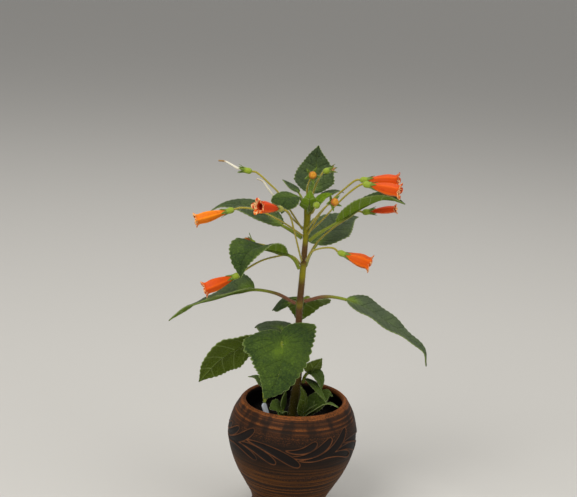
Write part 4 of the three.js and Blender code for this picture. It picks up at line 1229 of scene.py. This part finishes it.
class KOHLERIA_OT_pot(bpy.types.Operator):
    """Throw the pot from its profile and carve its spray of lobes"""
    bl_idname = "kohleria.pot"
    bl_label = "Clay pot"

    def execute(self, context):
        settings = context.scene.kohleria_pot
        outer = smooth_route([(r, 0, z) for r, z in [*POT_OUTSIDE, *POT_LIP]], OUTER_RINGS)
        inner = smooth_route([(r, 0, z) for r, z in [POT_LIP[-1], *POT_INSIDE]], INNER_RINGS)
        profile = np.vstack([(0, 0, 0), outer, inner[1:], (0, 0, POT_INSIDE[-1][1])])
        piece = from_points("pot", profile, [(i, i + 1) for i in range(len(profile) - 1)], [])
        only(piece)
        bpy.ops.object.mode_set(mode="EDIT")
        bpy.ops.mesh.select_all(action="SELECT")
        bpy.ops.mesh.spin(steps=POT_STEPS, angle=2 * math.pi, center=(0, 0, 0), axis=(0, 0, 1))
        bpy.ops.object.mode_set(mode="OBJECT")
        self.carve(merged(piece), settings)
        finished(piece, "pot", clay_finish(settings), angle=40)
        return {"FINISHED"}

    def carve(self, piece, settings):
        """Press the lobes in, raise their outlines and the throwing lines, and write where they are."""
        points = points_of(piece)
        radius, height = np.hypot(points[:, 0], points[:, 1]), points[:, 2].copy()
        wall = by_height(height, [(z, r) for r, z in POT_OUTSIDE])
        outside = (radius > wall - OUTSIDE_DEPTH) & (height > 1)
        degrees = np.degrees(np.arctan2(points[:, 1], points[:, 0])) + 90
        arounds = [(degrees - turn + 180) % 360 - 180 for turn in CARVE_TURNS]
        gaps = [self.distance(around, height, lobe) for around in arounds for lobe in CARVED_LOBES]
        gap = np.where(outside, np.min(gaps, axis=0), FAR)
        recess = CARVE_SHOWN * (1 - smoothstep(gap, -0.8, 0.1))
        outline = np.exp(-(((gap - CARVE_OUTLINE) / CARVE_OUTLINE) ** 2)) * (gap > -0.3)
        lines = self.waves(height, RIM_LINES) * smoothstep(height, *RIM_LINES_FADE)
        lines = lines + 0.6 * self.waves(height, FOOT_LINES) * (1 - smoothstep(height, *FOOT_LINES_FADE))
        depth = outline * settings.outline_height / MM - recess * CARVE_DEPTH
        depth = depth + outside * lines * settings.ridge_height / MM * (1 - recess) * (1 - outline)
        points[:, :2] += points[:, :2] / np.maximum(radius, 0.001)[:, None] * depth[:, None]
        points[:, 2] += smoothstep(height, 60, 90) * POT_RIM_TILT * points[:, 0]
        set_points(piece, points)
        height = points[:, 2]
        # Points on the inner wall, which the finish paints near-black as painted shade
        inside = (radius < wall - INSIDE_DEPTH) & (height > 4) & (height < LIP_HEIGHT)
        bright = by_height(height, RIDGE_WEAR) * (0.65 + 0.35 * self.waves(height, RIM_LINES))
        ridge = (outside | (height > LIP_HEIGHT)) * bright
        write(piece, "carve", gap, ridge, by_height(height, WARMTH) * outside)
        write(piece, "zone", inside, outside * by_height(height, SPECKLES), height > LIP_HEIGHT + 0.5)

    def waves(self, height, spacing):
        """Throwing lines, from -1 to 1."""
        return np.sin(2 * math.pi * height / spacing)

    def distance(self, around, height, lobe):
        """How far points lie outside a lobe's edge, in millimetres."""
        root, bend, end = (np.array(lobe[key], float) for key in ("root", "bend", "end"))
        gap = np.full(len(around), FAR)
        for t in np.linspace(0, 1, 36):
            middle = root * (1 - t) ** 2 + bend * 2 * t * (1 - t) + end * t * t
            half = lobe["width"] * 0.62 * t**0.7 * math.sqrt(1 - t**8)
            apart = np.hypot((around - middle[0]) * MM_PER_DEGREE, height - middle[1])
            gap = np.minimum(gap, apart - half)
        return gap


class KOHLERIA_OT_soil(bpy.types.Operator):
    """Fill the pot with lumpy soil"""
    bl_idname = "kohleria.soil"
    bl_label = "Soil"

    def execute(self, context):
        wall = sorted((z, r) for r, z in POT_INSIDE)
        floor = POT_INSIDE[-1][1] + CLEARANCE
        edge = by_height(SOIL_TOP - 1, wall) - 1.5 * CLEARANCE
        lower = [(r - CLEARANCE, z) for z, r in wall if floor < z < SOIL_TOP - 1]
        side = [(0, floor), (wall[0][1] - 2 * CLEARANCE, floor), *lower, (edge, SOIL_TOP - 1)]
        shares = np.linspace(0.98, 0, 60)
        top = [(edge * share, SOIL_TOP - 0.6 + SOIL_CROWN * (1 - share**2)) for share in shares]
        profile = np.vstack([even(np.array(side, float), SOIL_WALL_ROWS), top])
        lumps = np.random.default_rng(SEEDS["soil"]).normal(0, 1, (SOIL_LUMPS, 3))

        def place(across, along):
            row = np.rint(along * (len(profile) - 1)).astype(int)
            radius, height = profile[row].T
            angle = 2 * math.pi * across
            x, y = radius * np.cos(angle), radius * np.sin(angle)
            bumps = sum(np.sin(a * x * 0.9 + b * y * 0.9 + 3 * c) for a, b, c in lumps) / 18
            on_top = (row > SOIL_WALL_ROWS) & (radius > 0)
            return np.stack([x, y, height + on_top * np.clip(bumps, -1, 0.8)], 1)

        piece = merged(grid(180, len(profile) - 1, place))
        finished(piece, "soil", soil_finish(context.scene.kohleria_pot), angle=80)
        return {"FINISHED"}


class KOHLERIA_OT_label(bpy.types.Operator):
    """Cut the blank label and stick it in the soil"""
    bl_idname = "kohleria.label"
    bl_label = "Plant label"

    def execute(self, context):
        half = LABEL["width"] / 2
        bpy.ops.object.select_all(action="DESELECT")
        upright = (math.pi / 2, 0, 0)
        bpy.ops.mesh.primitive_circle_add(vertices=36, radius=half * MM, fill_type="NGON", rotation=upright)
        bpy.ops.object.transform_apply(location=False, rotation=True, scale=False)
        piece = bpy.context.object
        points = points_of(piece)
        lower = points[:, 2] < -0.01
        point = points[:, 2] < 0.01 - half
        points[lower, 0] = np.sign(points[lower, 0]) * half * np.abs(points[lower, 0] / half) ** 0.02
        points[lower, 2] = LABEL["point"] - LABEL["length"]
        points[point] = (0, 0, -LABEL["length"])
        points[~lower, 2] -= half
        set_points(piece, points)
        merged(piece, 0.02, False)
        with_modifier(piece, "SOLIDIFY", thickness=LABEL["thickness"] * MM, offset=0)
        edges = {"limit_method": "ANGLE", "angle_limit": math.radians(50)}
        with_modifier(piece, "BEVEL", width=LABEL["bevel"] * MM, segments=2, **edges)
        lean = Matrix.Rotation(math.radians(-LABEL["lean"]), 4, "Y")
        turn = Matrix.Rotation(math.radians(LABEL["turn"]), 4, "Z")
        piece.data.transform(Matrix.Translation(Vector(LABEL["top"]) * MM) @ lean @ turn)
        merged(piece, 0.002)
        finished(piece, "plant_label", label_finish(context.scene.kohleria_pot), angle=35)
        return {"FINISHED"}


class KOHLERIA_OT_stem(bpy.types.Operator):
    """Grow the main stem with its rounded tip, its knots and hairs"""
    bl_idname = "kohleria.stem"
    bl_label = "Main stem"

    def execute(self, context):
        foliage = context.scene.kohleria_foliage
        piece = tube(STEM_ROUTE, STEM_RADII, 20, 220)
        points = points_of(piece)
        tip = np.array(STEM_ROUTE[-1], float)
        drawn_in = np.sqrt(1 - np.clip((points[:, 2] - tip[2]) / STEM_TIP + 1, 0, 1) ** 2)
        points[:, :2] = tip[:2] + (points[:, :2] - tip[:2]) * drawn_in[:, None]
        set_points(piece, points)
        height = points_of(merged(piece))[:, 2]
        # Green by height, then how far the stem is painted dark as shade towards its foot
        write(piece, "shape", by_height(height, STEM_GREEN), 1 - smoothstep(height, 84, 112), 0)
        piece = hairy(piece, *COATS["stem"], foliage, SEEDS["stem"])
        finished(piece, "main_stem", stem_finish(foliage))
        return {"FINISHED"}


class KOHLERIA_OT_leaves(bpy.types.Operator):
    """Grow every leaf on the main stem"""
    bl_idname = "kohleria.leaves"
    bl_label = "Leaves"

    def execute(self, context):
        foliage = context.scene.kohleria_foliage
        grown = leaf_finish("leaf_blade", foliage.blade, foliage.blade_light, foliage)
        young = leaf_finish("young_leaf_blade", foliage.young, foliage.underside, foliage)
        for number, (name, own) in enumerate(LEAVES.items()):
            leaf = {**LEAF, **own}
            stalk = beside_stem(leaf["stalk"], leaf["stalk_radii"][0])
            piece = together(*leaf_parts(leaf, stalk, SEEDS["leaves"] + 10 * number, foliage))
            slot, coat = ("young_leaf", young) if leaf["young"] else ("leaf", grown)
            finished(piece, name, coat, angle=70)
        return {"FINISHED"}


class KOHLERIA_OT_shoots(bpy.types.Operator):
    """Grow the basal shoots with their small leaves"""
    bl_idname = "kohleria.shoots"
    bl_label = "Basal shoots"

    def execute(self, context):
        foliage = context.scene.kohleria_foliage
        finish = leaf_finish("shoot_blade", darker(foliage.blade_light, 0.7), foliage.blade_light, foliage)
        for number, (name, shoot) in enumerate(SHOOTS.items()):
            route = shoot["route"]
            if route[0][2] > SOIL_TOP:
                route = beside_stem(route, shoot["radii"][0])
            rod = tube(route, shoot["radii"], 10, 16)
            write(rod, "tint", 0, 0, 1)
            parts = [hairy(rod, *COATS["shoot"], foliage, SEEDS["shoots"] + number)]
            for place, own in enumerate(shoot["leaves"]):
                leaf = {**LEAF, **SMALL_LEAF, **own}
                seed = SEEDS["shoot_leaves"] + 50 * number + 5 * place
                parts += leaf_parts(leaf, leaf["stalk"], seed, foliage)
            finished(together(*parts), name, finish, angle=70)
        return {"FINISHED"}


class KOHLERIA_OT_blooms(bpy.types.Operator):
    """Grow every open bloom with its stalk, calyx and corolla"""
    bl_idname = "kohleria.blooms"
    bl_label = "Blooms"

    def execute(self, context):
        settings, foliage = context.scene.kohleria_flowers, context.scene.kohleria_foliage
        calyx = calyx_finish(settings, foliage)
        kinds = ("corolla", "corolla_orange", "corolla_red")
        coats = {kind: corolla_finish(kind + "_skin", getattr(settings, kind), settings) for kind in kinds}
        for number, (name, bloom) in enumerate(BLOOMS.items()):
            seed = SEEDS["blooms"] + 10 * number
            finished(held(bloom, BLOOM_CALYX, foliage, seed), name + "_calyx", calyx)
            petals = hairy(corolla_form(bloom), *COATS["corolla"], foliage, seed + 3)
            finished(petals, name + "_corolla", coats[bloom["kind"]])
        return {"FINISHED"}


class KOHLERIA_OT_buds(bpy.types.Operator):
    """Grow the coloured buds in their sepals, and the green bud"""
    bl_idname = "kohleria.buds"
    bl_label = "Buds"

    def execute(self, context):
        settings, foliage = context.scene.kohleria_flowers, context.scene.kohleria_foliage
        calyx = calyx_finish(settings, foliage)
        coat = bud_finish(settings)
        for number, (name, bud) in enumerate(BUDS.items()):
            seed = SEEDS["buds"] + 10 * number
            seat, tip = bud["seat"], bud["tip"]
            foot = tuple(np.array(seat, float) + between(seat, tip) * -0.35)
            route = [*beside_stem(bud["stalk"], BUD_STALK[0]), foot]
            rod = stalk_form(route, BUD_STALK, "bud_stalk", foliage, seed)
            cup = hairy(bell(FORMS["sepals"], seat, tip), *COATS["sepals"], foliage, seed + 1)
            finished(together(rod, cup), name + "_calyx", calyx)
            ball = bell(FORMS["bud"], seat, tip, BUD, BUD)
            finished(hairy(ball, *COATS["bud"], foliage, seed + 2), name, coat)
        seat, tip = GREEN_BUD["seat"], GREEN_BUD["tip"]
        route = beside_stem([*GREEN_BUD["stalk"], seat, tip], BUD_STALK[0])
        rod = stalk_form(route, BUD_STALK, "green_stalk", foliage, SEEDS["green_bud"])
        ball = bell(FORMS["bud"], seat, tip, SMALL_BUD, SMALL_BUD)
        write(ball, "shape", -1, 0, 0)
        ball = hairy(ball, *COATS["green_bud"], foliage, SEEDS["green_bud"] + 1)
        finished(together(rod, ball), "bud_green", calyx)
        return {"FINISHED"}


class KOHLERIA_OT_fruits(bpy.types.Operator):
    """Grow the young fruits, two with the old style and one with a faded bloom's foot"""
    bl_idname = "kohleria.fruits"
    bl_label = "Young fruits"

    def execute(self, context):
        settings, foliage = context.scene.kohleria_flowers, context.scene.kohleria_foliage
        calyx = calyx_finish(settings, foliage)
        wax = style_finish(settings)
        for number, (name, fruit) in enumerate(FRUITS.items()):
            seat, tip = fruit["seat"], fruit["tip"]
            cup = held(fruit, FRUIT_CALYX, foliage, SEEDS["fruits"] + 5 * number)
            if "style" not in fruit:
                remains = bell(FORMS["faded"], seat, tip)
                write(remains, "tint", 0, 0, 1)
                cup = together(cup, remains)
            finished(cup, name + "_calyx", calyx)
            if "style" in fruit:
                foot = tuple(np.array(seat) + unit(between(seat, tip)) * CLEARANCE / 2)
                rod = tube([foot, *fruit["style"]], STYLE, 12)
                away = np.linalg.norm(points_of(rod) - np.array(fruit["style"][-1]), axis=1)
                write(rod, "tint", fruit["dried"] * (1 - smoothstep(away, 3.5, 6)), 0, 0)
                finished(rod, name + "_style", wax)
        return {"FINISHED"}


class KOHLERIA_OT_stage(bpy.types.Operator):
    """Lay the floor, hang the lights and set the camera"""
    bl_idname = "kohleria.stage"
    bl_label = "Stage"

    def execute(self, context):
        settings = context.scene.kohleria_stage
        bpy.ops.object.select_all(action="DESELECT")
        bpy.ops.mesh.primitive_plane_add(size=FLOOR_WIDTH)
        floor = bpy.context.object
        floor.name = "floor"
        floor.data.materials.append(floor_finish(settings))
        for name, (place, width) in LAMPS.items():
            lamp = bpy.data.lights.new(name, "AREA")
            lamp.energy = settings.key_power if name == "key" else settings.fill_power
            lamp.color = LAMP_COLOUR
            lamp.size = width
            holder = linked(name, lamp)
            holder.location = place
            holder.rotation_euler = (Vector(LAMP_AIM) - Vector(place)).to_track_quat("-Z", "Y").to_euler()
        world = bpy.data.worlds.new("studio")
        world.use_nodes = True
        world.node_tree.nodes["Background"].inputs["Color"].default_value = SKY_COLOUR
        world.node_tree.nodes["Background"].inputs["Strength"].default_value = settings.sky
        context.scene.world = world
        context.scene.view_settings.view_transform = "Standard"
        lens = bpy.data.cameras.new("camera")
        lens.sensor_width = SENSOR_WIDTH
        lens.sensor_fit = "HORIZONTAL"
        lens.lens = SENSOR_WIDTH * FOCAL_PIXELS / PICTURE_WIDTH
        lens.clip_end = 100
        pitch = Matrix.Rotation(math.radians(90 - CAMERA_PITCH), 4, "X")
        roll = Matrix.Rotation(math.radians(CAMERA_ROLL), 4, "Z")
        context.scene.camera = linked("camera", lens)
        context.scene.camera.matrix_world = Matrix.Translation(Vector(CAMERA_PLACE) * MM) @ pitch @ roll
        return {"FINISHED"}


class KOHLERIA_PT_panel(bpy.types.Panel):
    """Buttons and settings for the plant"""
    bl_label = "Kohleria"
    bl_idname = "KOHLERIA_PT_panel"
    bl_space_type = "VIEW_3D"
    bl_region_type = "UI"
    bl_category = "Kohleria"

    def draw(self, context):
        for operator in OPERATORS:
            self.layout.operator(operator.bl_idname)
        for name, group in SETTINGS.items():
            box = self.layout.box()
            for key in group.__annotations__:
                box.prop(getattr(context.scene, name), key)


SETTINGS = {
    "kohleria_pot": PotSettings,
    "kohleria_foliage": FoliageSettings,
    "kohleria_flowers": FlowerSettings,
    "kohleria_stage": StageSettings,
}
OPERATORS = (
    KOHLERIA_OT_pot, KOHLERIA_OT_soil, KOHLERIA_OT_label, KOHLERIA_OT_stem, KOHLERIA_OT_leaves,
    KOHLERIA_OT_shoots, KOHLERIA_OT_blooms, KOHLERIA_OT_buds, KOHLERIA_OT_fruits, KOHLERIA_OT_stage,
)
CLASSES = (*SETTINGS.values(), *OPERATORS, KOHLERIA_PT_panel)


def register():
    for kind in CLASSES:
        bpy.utils.register_class(kind)
    for name, group in SETTINGS.items():
        setattr(bpy.types.Scene, name, bpy.props.PointerProperty(type=group))


def unregister():
    for name in SETTINGS:
        delattr(bpy.types.Scene, name)
    for kind in reversed(CLASSES):
        bpy.utils.unregister_class(kind)


def main():
    register()
    for operator in OPERATORS:
        group, name = operator.bl_idname.split(".")
        getattr(getattr(bpy.ops, group), name)()


if __name__ == "__main__":
    main()
